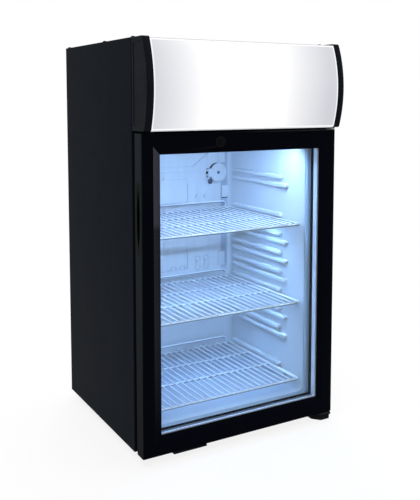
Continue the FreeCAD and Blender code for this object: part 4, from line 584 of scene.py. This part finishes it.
def spacer_metal(name, paint):
    """Bright spacer with two rows of small vents along it, and painted shade on the upward faces of its
    rear half.
    """
    finish = Finish(name)
    vent_pitch = 0.0045
    row_pitch = 0.0026
    row_start = -0.169
    marks = [finish.ramp(finish.wave(finish.along(axis), vent_pitch), (0.10, 1.0), (0.20, 0.0))
             for axis in ("X", "Z")]
    rows = finish.ramp(finish.wave(finish.along("Y") - row_start, row_pitch), (0.55, 0.0), (0.75, 1.0))
    vent = finish.clamp(marks[0] * marks[1] * rows)
    grain = finish.noise(0.0015, 2.0)
    low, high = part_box("spacer_bar")
    depth = (finish.along("Y") - low.y) / (high.y - low.y)
    # Painted shade on the upward faces of the spacer's rear half
    rear_shade = finish.ramp(depth, (0.38, 0.0), (0.46, 1.0)) * finish.clamp(finish.facing("Z"))
    bar = finish.blend(rear_shade * 0.9, paint, settings().colours.spacer_painted_shade)
    return finish.done(finish.principled(
        base_color=finish.blend(vent, bar, shade(paint, 0.2)),
        metallic=0.35,
        roughness=grain * 0.12 + 0.30,
        normal=finish.bump(1.0 - vent, 0.0002, 0.5)))


def pane_glass(name):
    """Clear float glass: straight through, with a gloss that grows at grazing angles on both faces."""
    finish = Finish(name)
    colours = settings().colours
    gloss = finish.principled(base_color=colours.glass_gloss, metallic=1.0,
                              roughness=finish.noise(0.05, 2.0) * 0.02 + 0.02)
    clear = finish.node("ShaderNodeBsdfTransparent", None, {"Color": (*colours.glass_clear, 1.0)})
    grazing = finish.node("ShaderNodeLayerWeight", None, {"Blend": 0.5}, "Facing")
    film = finish.ramp(finish.noise(0.08, 4.0, 0.6), (0.45, 0.0), (0.9, 1.0))
    mirror = grazing ** 5.0 * (1.0 - GLASS_REFLECTION) + GLASS_REFLECTION
    share = finish.clamp(mirror * GLASS_GLOSS_SHARE + film * 0.004)
    return finish.done(finish.node("ShaderNodeMixShader", None, {0: share, 1: clear, 2: gloss}))


def lit_acrylic(name, paint):
    """Opal panel lit from behind: white in the middle, greyer towards its ends, with a bright cut edge."""
    finish = Finish(name)
    colours = settings().colours
    low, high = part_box("canopy_panel")
    middle = (low + high) / 2
    half = (high - low) / 2
    bright_shift = 0.014
    across = finish.size((finish.along("X") - middle.x + bright_shift) / half.x)
    upright = finish.size((finish.along("Z") - middle.z) / half.z)
    fall = finish.clamp((across - 0.40) / 0.58 + finish.noise(0.12, 2.0) * 0.06 - 0.03)
    end = finish.size((finish.along("X") - middle.x) / half.x)
    rim = finish.clamp(finish.ramp(end, (0.984, 0.0), (0.990, 1.0))
                       + finish.ramp(upright, (0.965, 0.0), (0.975, 1.0)))
    field = finish.blend(fall ** 0.7, colours.panel_glow, colours.panel_end)
    return finish.done(finish.principled(
        base_color=finish.blend(fall, paint, shade(paint, 0.9)),
        roughness=finish.noise(0.02, 2.0) * 0.08 + 0.22,
        emission_color=finish.blend(rim, field, colours.panel_rim),
        emission_strength=1.0,
        normal=finish.bump(finish.noise(0.004, 2.0), 0.00006, 0.2)))


def lamp_glow(name, glow, strength):
    """Frosted lens over a lamp, with a fine prism pattern along it and brighter spots, whose base colour is
    painted lighter too.
    """
    finish = Finish(name)
    colours = settings().colours
    rib_span = 0.0015
    spot_span = 0.010
    ribs = finish.wave(finish.along("X"), rib_span)
    spot_glow = finish.ramp(finish.wave(finish.along("X"), spot_span), (0.0, 0.75), (1.0, 1.0))
    return finish.done(finish.principled(
        # Base colour painted lighter over each spot, along with the glow
        base_color=finish.blend(spot_glow, colours.lens_shade, colours.lens_clear),
        roughness=0.35,
        emission_color=finish.blend(spot_glow, shade(glow, 0.7), glow),
        emission_strength=strength,
        normal=finish.bump(ribs, 0.0003, 0.4)))


def foam_core(name, paint):
    """Cut polyurethane foam with open cells."""
    finish = Finish(name)
    cells = finish.node("ShaderNodeTexVoronoi", None, {"Vector": finish.place, "Scale": 900.0})
    return finish.done(finish.principled(
        base_color=finish.blend(cells, shade(paint, 0.75), shade(paint, 1.1)),
        roughness=0.9,
        normal=finish.bump(cells, 0.0004, 0.6)))


def flat_mark(name, paint, roughness):
    """Thin paint or a shadowed recess with a little grain."""
    finish = Finish(name)
    grain = finish.noise(0.0006, 2.0)
    return finish.done(finish.principled(
        base_color=finish.blend(grain, shade(paint, 0.8), shade(paint, 1.15)),
        roughness=grain * 0.2 + roughness))


def dress(finish, *names):
    """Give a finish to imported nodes."""
    for name in names:
        item = NODES[name]
        if not item.material_slots:
            item.data.materials.append(finish)
        for place in item.material_slots:
            place.material = finish


def soften(width, segments, *names):
    """Rounded edges where faces of a node meet at a sharp angle."""
    for name in names:
        item = NODES[name]
        weld = item.modifiers.new("joined_edges", "WELD")
        weld.merge_threshold = MERGE_REACH
        bevel = item.modifiers.new("broken_edges", "BEVEL")
        bevel.width = width
        bevel.segments = segments
        bevel.limit_method = "ANGLE"
        bevel.angle_limit = BEVEL_ANGLE
        bevel.harden_normals = True


# Meshes of the small fittings

class Workpiece:
    """A mesh under construction, from turned heads, rings, prisms and balls."""

    def __init__(self):
        self.mesh = bmesh.new()

    def ring(self, centre, across, up, radius, count):
        corners = []
        for number in range(count):
            angle = 2.0 * math.pi * number / count
            offset = across * (math.cos(angle) * radius) + up * (math.sin(angle) * radius)
            corners.append(self.mesh.verts.new(centre + offset))
        return corners

    def skin(self, first, second):
        count = len(first)
        for number in range(count):
            following = (number + 1) % count
            self.mesh.faces.new((first[number], first[following], second[following], second[number]))

    def stack(self, foot, axis, profile, count):
        """Rings of corners on an axis, from pairs of radius and height."""
        across = axis.orthogonal().normalized()
        up = axis.cross(across)
        return [self.ring(foot + axis * height, across, up, radius, count) for radius, height in profile]

    def turned(self, foot, axis, profile, count=20):
        """A turned piece on an axis, closed at both ends."""
        rings = self.stack(foot, axis, profile, count)
        for first, second in zip(rings, rings[1:]):
            self.skin(first, second)
        self.mesh.faces.new(rings[0][::-1])
        self.mesh.faces.new(rings[-1])

    def hoop(self, foot, axis, profile, count=24):
        """A hollow ring on an axis, from the corners of its section."""
        rings = self.stack(foot, axis, profile, count)
        for first, second in zip(rings, rings[1:] + rings[:1]):
            self.skin(first, second)

    def prism(self, corners, axis, depth):
        """A flat outline raised along an axis."""
        lower = [self.mesh.verts.new(corner) for corner in corners]
        upper = [self.mesh.verts.new(corner + axis * depth) for corner in corners]
        self.skin(lower, upper)
        self.mesh.faces.new(lower[::-1])
        self.mesh.faces.new(upper)

    def ball(self, centre, radii, count):
        """A squashed ball, such as a weld."""
        made = bmesh.ops.create_uvsphere(self.mesh, u_segments=count, v_segments=count // 2 + 1,
                                         radius=1.0)
        stretch = Matrix.Diagonal((*radii, 1.0))
        bmesh.ops.transform(self.mesh, matrix=Matrix.Translation(centre) @ stretch, verts=made["verts"])

    def cross(self, centre, axis, reach, width, depth):
        """A cross-shaped prism, the recess of a screw."""
        across = axis.orthogonal().normalized()
        up = axis.cross(across)
        half = width / 2
        spots = ((half, reach), (half, half), (reach, half), (reach, -half), (half, -half),
                 (half, -reach), (-half, -reach), (-half, -half), (-reach, -half), (-reach, half),
                 (-half, half), (-half, reach))
        self.prism([centre + across * u + up * v for u, v in reversed(spots)], axis, depth)

    def finish(self, name, body, slot, material, smooth=True):
        """The piece as an object that rides on a body."""
        bmesh.ops.recalc_face_normals(self.mesh, faces=self.mesh.faces)
        data = bpy.data.meshes.new(name)
        self.mesh.to_mesh(data)
        self.mesh.free()
        if not data.polygons:
            raise RuntimeError(f"{name} has no faces")
        data.materials.append(material)
        item = bpy.data.objects.new(name, data)
        bpy.context.scene.collection.objects.link(item)
        if smooth:
            data.shade_smooth()
            data.set_sharp_from_angle(angle=SMOOTH_ANGLE)
        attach(item, body)
        return item


def rounded(centre, axis, half_width, half_height, radius):
    """Outline of an upright plate with round corners, facing along an axis."""
    across = UP.cross(axis)
    corners = []
    for turn, (side, rise) in enumerate(((1, 1), (-1, 1), (-1, -1), (1, -1))):
        middle = centre + across * (side * (half_width - radius)) + UP * (rise * (half_height - radius))
        for step in range(4):
            angle = math.radians(90 * turn + 30 * step)
            corners.append(middle + across * (math.cos(angle) * radius) + UP * (math.sin(angle) * radius))
    return corners


def dome(radius, rise):
    """Profile of a pan head."""
    return [(radius * across, rise * up) for across, up in PAN_HEAD]


class REFRIGERATOR_OT_body(Operator):
    """Paint the steel body, its covers, feet and rest plate"""

    bl_idname = "refrigerator.body"
    bl_label = "Body"

    def execute(self, context):
        colours = settings().colours
        sizes = settings().sizes
        dress(powder_coat("body_powder_coat", colours.body_paint), "side_panel_left", "side_panel_right",
              "top_cover", "back_panel", "base_pan", "machine_deck", "rear_grille", "door_rest_plate",
              "cover_screws", "upper_hinge_bracket", "lower_hinge_bracket")
        dress(foam_core("insulation_foam", colours.foam_cream), "foam_insulation")
        dress(rubber("foot_rubber", colours.rubber_black), "feet")
        soften(sizes.edge_break, 2, "top_cover", "back_panel", "rear_grille", "door_rest_plate",
               "upper_hinge_bracket", "lower_hinge_bracket")
        return {"FINISHED"}


class REFRIGERATOR_OT_screws(Operator):
    """Add the rear panel's screws and the recesses of all screw heads"""

    bl_idname = "refrigerator.screws"
    bl_label = "Screws"

    def execute(self, context):
        sizes = settings().sizes
        colours = settings().colours
        low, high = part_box("cover_screws")
        recesses = Workpiece()
        for x in (low.x + COVER_HEAD, high.x - COVER_HEAD):
            for y in (low.y + COVER_HEAD, COVER_MIDDLE, high.y - COVER_HEAD):
                foot = Vector((x, y, high.z - COVER_SINK))
                recesses.cross(foot, UP, sizes.recess_reach * COVER_RECESS_SHARE, sizes.recess_width,
                               COVER_SINK + RECESS_PROUD)
        panel_low, panel_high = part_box("side_panel_left")
        heads = Workpiece()
        edge = abs(panel_low.x) - REAR_INSET
        tall = panel_high.z - panel_low.z
        for side in SIDES:
            for share in REAR_LEVELS:
                foot = Vector((side * edge, panel_high.y, panel_low.z + share * tall))
                heads.turned(foot, REAR, dome(sizes.head_radius, sizes.head_rise))
                recesses.cross(foot + REAR * (sizes.head_rise - REAR_SINK), REAR, sizes.recess_reach,
                               sizes.recess_width, REAR_SINK + RECESS_PROUD)
        heads.finish("rear_panel_screws", "cabinet", "bright_steel",
                     plated_metal("zinc_plate", colours.zinc, 0.30))
        recesses.finish("screw_recesses", "cabinet", "bright_steel",
                        flat_mark("screw_recess_shadow", colours.recess_dark, 0.5), False)
        return {"FINISHED"}


class REFRIGERATOR_OT_canopy(Operator):
    """Finish the lit canopy, its ends and its tray"""

    bl_idname = "refrigerator.canopy"
    bl_label = "Canopy"

    def execute(self, context):
        colours = settings().colours
        sizes = settings().sizes
        dress(lit_acrylic("lit_opal_acrylic", colours.panel_white), "canopy_panel")
        caps = ("canopy_cap_left", "canopy_cap_right")
        dress(moulded_black("canopy_end_moulding", colours.cap_black), *caps)
        dress(coated_plate("canopy_tray_paint", colours.tray_white), "canopy_tray")
        dress(plated_metal("canopy_rail_metal", colours.aluminium, 0.28, (0.05, 1.0, 1.0)),
              "canopy_bottom_rail")
        dress(lamp_glow("canopy_lamp_lens", colours.canopy_glow, 1.5), "canopy_lamp")
        soften(sizes.moulded_break, 3, *caps)
        return {"FINISHED"}


class REFRIGERATOR_OT_door(Operator):
    """Finish the door's rails, glass, seal, handle and lock"""

    bl_idname = "refrigerator.door"
    bl_label = "Door"

    def execute(self, context):
        colours = settings().colours
        sizes = settings().sizes
        rails = ("door_rail_top", "door_rail_bottom", "door_stile_left", "door_stile_right")
        dress(gloss_rail("door_gloss_black", colours.door_black), *rails)
        soften(sizes.edge_break, 2, *rails)
        dress(pane_glass("float_glass"), "outer_pane", "inner_pane")
        dress(spacer_metal("spacer_metal", colours.spacer_white), "spacer_bar")
        # The gasket carries painted shade on its upward faces
        dress(rubber("seal_rubber", colours.gasket_grey, bloom_share=0.3, bloom_shade=0.85,
                     base_roughness=0.55, upward_shade_share=0.8), "door_gasket")
        dress(moulded_black("handle_moulding", shade(colours.fitting_black, 0.1), 0.0006), "handle_insert")
        dress(moulded_black("fitting_moulding", colours.fitting_black, 0.0006), "hinge_cap", "hinge_bushes",
              "thermostat_body", "thermostat_knob", "switch_body", "switch_rocker", "cord_gland",
              "fan_blade")
        soften(sizes.edge_break, 2, "handle_insert", "hinge_cap", "switch_rocker")
        dress(plated_metal("lock_black_chrome", colours.lock_black, 0.16), "lock_barrel", "lock_plug")
        soften(sizes.edge_break, 2, "lock_barrel")
        return {"FINISHED"}


class REFRIGERATOR_OT_interior(Operator):
    """Finish the liner, the cold plate and the cabinet lamp, and add the plate's small fittings"""

    bl_idname = "refrigerator.interior"
    bl_label = "Interior"

    def execute(self, context):
        colours = settings().colours
        sizes = settings().sizes
        lamps = settings().lamps
        white = liner_plastic("liner_plastic", colours.liner_white)
        dress(white, "inner_liner", "evaporator_clips", "lamp_housing")
        cold = coated_plate("cold_plate_paint", colours.plate_white, run_shade=0.9, blown=True)
        dress(cold, "evaporator_plate", "tube_cover")
        dress(lamp_glow("cabinet_lamp_lens", lamps.led_colour, 2.0), "lamp_lens")
        soften(sizes.edge_break, 2, "evaporator_clips", "lamp_housing")
        soften(sizes.blown_break, 3, "evaporator_plate")
        soften(sizes.moulded_break, 3, "tube_cover")
        low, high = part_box("tube_cover")
        radius = (high.z - low.z) / 2
        centre = Vector((high.x - radius, low.y, (low.z + high.z) / 2))
        screw = Workpiece()
        screw.turned(centre, FRONT, dome(TUBE_SCREW_RADIUS, TUBE_SCREW_RISE))
        screw.finish("tube_cover_screw", "cabinet", "black_plastic",
                     flat_mark("cover_screw_paint", colours.plug_grey, 0.4))
        dark = bpy.data.materials["fitting_moulding"]
        plate_low, plate_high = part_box("evaporator_plate")
        self.bracket(plate_high.x + BRACKET_OFFSET, centre.z - BRACKET_DROP, white, dark)
        self.grommet(Vector((centre.x - GROMMET_LEFT, plate_low.y + GROMMET_SEAT, centre.z - GROMMET_DROP)),
                     flat_mark("grommet_plastic", colours.plug_grey, 0.35), dark)
        self.plate_rings(plate_low, plate_high, cold)
        return {"FINISHED"}

    def bracket(self, x, z, white, dark):
        """Small bracket on the back wall beside the plate, with a dark strip at its foot, a painted shadow.
        """
        foot = Vector((x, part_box("evaporator_clips")[1].y, z))
        bracket = Workpiece()
        bracket.prism(rounded(foot, FRONT, *BRACKET_OUTLINE), FRONT, BRACKET_DEPTH)
        bracket.finish("plate_side_bracket", "cabinet", "white_plastic", white)
        # A thin dark strip below the bracket is a painted shadow
        seat = foot + FRONT * FOOT_SHADOW_SEAT - UP * FOOT_SHADOW_DROP
        slot = Workpiece()
        slot.prism(rounded(seat, FRONT, *FOOT_SHADOW_OUTLINE), FRONT, FOOT_SHADOW_DEPTH)
        slot.finish("plate_bracket_shadow", "cabinet", "black_plastic", dark, False)

    def grommet(self, seat, plastic, dark):
        """Push-in grommet below the tube cover, with six slots."""
        size = settings().sizes.grommet_radius
        grommet = Workpiece()
        grommet.turned(seat, FRONT, [(size * share, height) for share, height in GROMMET_PROFILE])
        grommet.finish("plate_grommet", "cabinet", "white_plastic", plastic)
        slots = Workpiece()
        for degrees in GROMMET_SLOT_ANGLES:
            angle = math.radians(degrees)
            arm = Vector((math.cos(angle), 0.0, math.sin(angle)))
            side = FRONT.cross(arm) * GROMMET_SLOT_HALF
            for end in SIDES:
                start = seat + FRONT * GROMMET_SLOT_LIFT + arm * (size * GROMMET_SLOT_START * end)
                reach = arm * (size * GROMMET_SLOT_REACH * end)
                corners = [start - side, start + side, start + side + reach, start - side + reach]
                slots.prism(corners, FRONT, GROMMET_SLOT_DEPTH)
        slots.finish("plate_grommet_slots", "cabinet", "black_plastic", dark, False)

    def plate_rings(self, low, high, paint):
        """Small rings round the pads and on the islands of the plate's lower loops."""
        pitch = (high.z - low.z) / PLATE_BAYS
        section = [(RING_RADIUS + RING_WIDTH / 2, 0.0), (RING_RADIUS, RING_RISE),
                   (RING_RADIUS - RING_WIDTH / 2, 0.0)]
        rings = Workpiece()
        for loop in range(RINGED_LOOPS):
            for inset, rise, seat in RING_PLACES:
                for side in SIDES:
                    foot = Vector((side * (high.x - inset), low.y + seat, low.z + pitch * loop + rise))
                    rings.hoop(foot, FRONT, section)
        rings.finish("plate_rings", "cabinet", "white_steel", paint)


class REFRIGERATOR_OT_shelves(Operator):
    """Coat the wire shelves, and add their welds and rounded wire ends"""

    bl_idname = "refrigerator.shelves"
    bl_label = "Shelves"

    def execute(self, context):
        sizes = settings().sizes
        coat = wire_coat("wire_plastic_coat", settings().colours.wire_white)
        for name in SHELVES:
            dress(coat, f"shelf_{name}", f"shelf_{name}_guard")
            low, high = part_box(f"shelf_{name}")
            beads = Workpiece()
            level = high.z - sizes.deck_wire
            half = high.x - sizes.wire_margin
            front = low.y + sizes.rim_wire
            first = front + sizes.front_bay
            rear = high.y - sizes.rear_bay
            count = sizes.wire_count
            bays = sizes.cross_count - 1
            crossings = [front] + [first + (rear - first) * bay / bays for bay in range(bays + 1)]
            for number in range(count):
                x = half * (2.0 * number / (count - 1) - 1.0)
                for y in crossings:
                    beads.ball(Vector((x, y, level - sizes.deck_wire * WELD_SINK)), WELD_RADII, WELD_SIDES)
                for y in (low.y, high.y):
                    beads.ball(Vector((x, y, level)), self.tip(sizes.deck_wire), DECK_TIP_SIDES)
            for side in SIDES:
                end = Vector((side * (high.x - sizes.rim_wire), high.y, low.z + sizes.rim_wire))
                beads.ball(end, self.tip(sizes.rim_wire), RIM_TIP_SIDES)
            beads.finish(f"shelf_{name}_welds", f"{name}_shelf", "coated_wire", coat)
        return {"FINISHED"}

    def tip(self, wire):
        """Radii of a wire's rounded end."""
        swell = wire * TIP_SWELL
        return (swell, swell * TIP_DEPTH, swell)


class REFRIGERATOR_OT_machinery(Operator):
    """Finish the compressor, coil, fan and lines behind the canopy"""

    bl_idname = "refrigerator.machinery"
    bl_label = "Machinery"

    def execute(self, context):
        colours = settings().colours
        dress(powder_coat("compressor_enamel", colours.iron_black), "compressor")
        dress(rubber("mount_rubber", colours.rubber_black), "compressor_grommets")
        dress(plated_metal("fin_aluminium", colours.aluminium, 0.34), "condenser_fins")
        dress(plated_metal("line_copper", colours.copper, 0.24), "condenser_tube", "filter_drier",
              "discharge_line", "capillary_tube")
        dress(rubber("suction_line_sleeve", colours.rubber_black), "suction_line")
        dress(plated_metal("fan_steel", colours.zinc, 0.36), "fan_shroud", "fan_motor")
        return {"FINISHED"}


class REFRIGERATOR_OT_controls(Operator):
    """Add the ticks round the thermostat's knob"""

    bl_idname = "refrigerator.controls"
    bl_label = "Controls"

    def execute(self, context):
        sizes = settings().sizes
        paint = flat_mark("printed_marks", settings().colours.mark_white, 0.55)
        knob_low, knob_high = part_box("thermostat_knob")
        middle = (knob_low + knob_high) / 2
        base = Vector((middle.x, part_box("rear_grille")[1].y, middle.z))
        ticks = Workpiece()
        count = sizes.tick_count
        for number in range(count):
            angle = math.radians(FIRST_TICK - TICK_SWEEP * number / (count - 1))
            arm = Vector((-math.cos(angle), 0.0, math.sin(angle)))
            side = REAR.cross(arm) * (TICK_HALF + TICK_GROWTH * number)
            inner = base + arm * sizes.tick_inner
            outer = base + arm * sizes.tick_outer
            ticks.prism([inner - side, inner + side, outer + side, outer - side], REAR, TICK_RISE)
        ticks.finish("thermostat_ticks", "cabinet", "white_plastic", paint, False)
        return {"FINISHED"}


class REFRIGERATOR_OT_stage(Operator):
    """Add the floor, the sky, the lamps and the camera"""

    bl_idname = "refrigerator.stage"
    bl_label = "Stage"

    def execute(self, context):
        self.floor()
        self.sky(context.scene)
        self.cabinet_light()
        lamps = settings().lamps
        powers = (lamps.key_power, lamps.fill_power, lamps.rear_power, lamps.top_power)
        for (name, place, width), power in zip(STUDIO_LAMPS, powers):
            self.soft_lamp(name, Vector(place), width, power)
        self.camera(context.scene)
        context.scene.view_settings.view_transform = "Standard"
        return {"FINISHED"}

    def seen_share(self, finish):
        """One for rays that the camera, gloss or glass sends out."""
        rays = [finish.node("ShaderNodeLightPath", output=name)
                for name in ("Is Camera Ray", "Is Glossy Ray", "Is Transmission Ray")]
        return finish.clamp(rays[0] + rays[1] + rays[2])

    def floor(self):
        finish = Finish("studio_floor")
        seen = self.seen_share(finish)
        colours = settings().colours
        cloud = finish.blend(finish.noise(0.6, 2.0), colours.floor_low, colours.floor_high)
        matt = finish.principled(base_color=finish.blend(seen, colours.floor_bounce, cloud),
                                 roughness=0.7, specular_ior_level=0.0)
        white = finish.node("ShaderNodeEmission", None, {"Color": (1.0, 1.0, 1.0, 1.0), "Strength": 1.0})
        away = finish.node("ShaderNodeVectorMath", {"operation": "LENGTH"}, {0: finish.place}, "Value")
        far = finish.step(away, SHADOW_REACH, SHADOW_FADE)
        glow = seen * (far * SHADOW_SHARE + (1.0 - SHADOW_SHARE))
        mixed = finish.node("ShaderNodeMixShader", None, {0: glow, 1: matt, 2: white})
        mesh = bmesh.new()
        bmesh.ops.create_grid(mesh, x_segments=2, y_segments=2, size=FLOOR_HALF)
        data = bpy.data.meshes.new("studio_floor")
        mesh.to_mesh(data)
        mesh.free()
        data.materials.append(finish.done(mixed))
        item = bpy.data.objects.new("studio_floor", data)
        item.location = (0.0, 0.0, CAD_BOX[0].z - FLOOR_GAP)
        bpy.context.scene.collection.objects.link(item)

    def sky(self, scene):
        sky = Finish("studio_sky", True)
        even = settings().lamps.sky_strength
        strength = self.seen_share(sky) * (1.0 - even) + even
        scene.world = sky.done(sky.node("ShaderNodeBackground", None,
                                        {"Color": (1.0, 1.0, 1.0, 1.0), "Strength": strength}))

    def lamp(self, name, shape, width, power, place):
        """An area lamp at a place, facing down."""
        light = bpy.data.lights.new(name, "AREA")
        light.shape = shape
        light.size = width
        light.energy = power
        item = bpy.data.objects.new(name, light)
        item.location = place
        bpy.context.scene.collection.objects.link(item)
        return item

    def cabinet_light(self):
        """LEDs below the cabinet lamp's lens, and soft strips under two shelves for the lower bays."""
        lamps = settings().lamps
        low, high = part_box("lamp_lens")
        count = lamps.led_count
        for number in range(count):
            x = low.x + (high.x - low.x) * (number + 0.5) / count
            led = self.lamp(f"cabinet_led_{number}", "DISK", LED_SIZE, lamps.led_power / count,
                            (x, (low.y + high.y) / 2, low.z - LED_GAP))
            led.data.spread = LED_SPREAD
            led.data.color = lamps.led_colour
            led.rotation_euler = (LED_TILT, 0.0, 0.0)
        for name, power in (("middle", lamps.lower_bay_power), ("upper", lamps.middle_bay_power)):
            low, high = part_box(f"shelf_{name}")
            strip = self.lamp(f"{name}_bay_light", "RECTANGLE", (high.x - low.x) * BAY_WIDTH, power,
                              (0.0, low.y + BAY_SETBACK, low.z - BAY_GAP))
            strip.data.size_y = BAY_DEPTH
            strip.data.spread = BAY_SPREAD
            strip.data.color = lamps.bay_colour
            strip.visible_camera = False

    def soft_lamp(self, name, place, width, power):
        """A studio lamp that faces the middle of the part."""
        target = (CAD_BOX[0] + CAD_BOX[1]) / 2
        item = self.lamp(f"{name}_lamp", "SQUARE", width, power, place)
        item.rotation_mode = "QUATERNION"
        item.rotation_quaternion = (target - place).to_track_quat("-Z", "Y")

    def camera(self, scene):
        view = settings().view
        data = bpy.data.cameras.new("photo_camera")
        data.sensor_fit = "AUTO"
        long_side = max(FRAME_WIDTH, FRAME_HEIGHT)
        data.lens = view.focal * data.sensor_width / long_side
        data.shift_x = (FRAME_WIDTH / 2 - view.centre_x) / long_side
        data.shift_y = (view.centre_y - FRAME_HEIGHT / 2) / long_side
        data.clip_start = CLIP_START
        data.clip_end = CLIP_END
        item = bpy.data.objects.new("photo_camera", data)
        level = math.cos(view.pitch)
        ahead = Vector((math.sin(view.yaw) * level, math.cos(view.yaw) * level, -math.sin(view.pitch)))
        item.location = view.location
        item.rotation_mode = "QUATERNION"
        item.rotation_quaternion = ahead.to_track_quat("-Z", "Y")
        scene.collection.objects.link(item)
        scene.camera = item


class RefrigeratorSettings(PropertyGroup):
    """All settings of the refrigerator."""

    colours: PointerProperty(type=FinishColours)
    sizes: PointerProperty(type=FittingSizes)
    lamps: PointerProperty(type=LampSettings)
    view: PointerProperty(type=CameraSettings)


OPERATORS = (
    REFRIGERATOR_OT_body, REFRIGERATOR_OT_screws, REFRIGERATOR_OT_canopy, REFRIGERATOR_OT_door,
    REFRIGERATOR_OT_interior, REFRIGERATOR_OT_shelves, REFRIGERATOR_OT_machinery, REFRIGERATOR_OT_controls,
    REFRIGERATOR_OT_stage,
)


class REFRIGERATOR_PT_panel(Panel):
    """The refrigerator's operators and settings"""

    bl_idname = "REFRIGERATOR_PT_panel"
    bl_label = "Refrigerator"
    bl_space_type = "VIEW_3D"
    bl_region_type = "UI"
    bl_category = "Refrigerator"

    def draw(self, context):
        for operator in OPERATORS:
            self.layout.operator(operator.bl_idname)
        for group in (settings().colours, settings().sizes, settings().lamps, settings().view):
            box = self.layout.box()
            for name in group.__annotations__:
                box.prop(group, name)


CLASSES = (
    FinishColours, FittingSizes, LampSettings, CameraSettings, RefrigeratorSettings, *OPERATORS,
    REFRIGERATOR_PT_panel,
)


def register():
    for item in CLASSES:
        bpy.utils.register_class(item)
    bpy.types.Scene.refrigerator = PointerProperty(type=RefrigeratorSettings)


def unregister():
    del bpy.types.Scene.refrigerator
    for item in reversed(CLASSES):
        bpy.utils.unregister_class(item)


def main():
    register()
    bpy.ops.refrigerator.body()
    bpy.ops.refrigerator.screws()
    bpy.ops.refrigerator.canopy()
    bpy.ops.refrigerator.door()
    bpy.ops.refrigerator.interior()
    bpy.ops.refrigerator.shelves()
    bpy.ops.refrigerator.machinery()
    bpy.ops.refrigerator.controls()
    bpy.ops.refrigerator.stage()


if __name__ == "__main__":
    main()
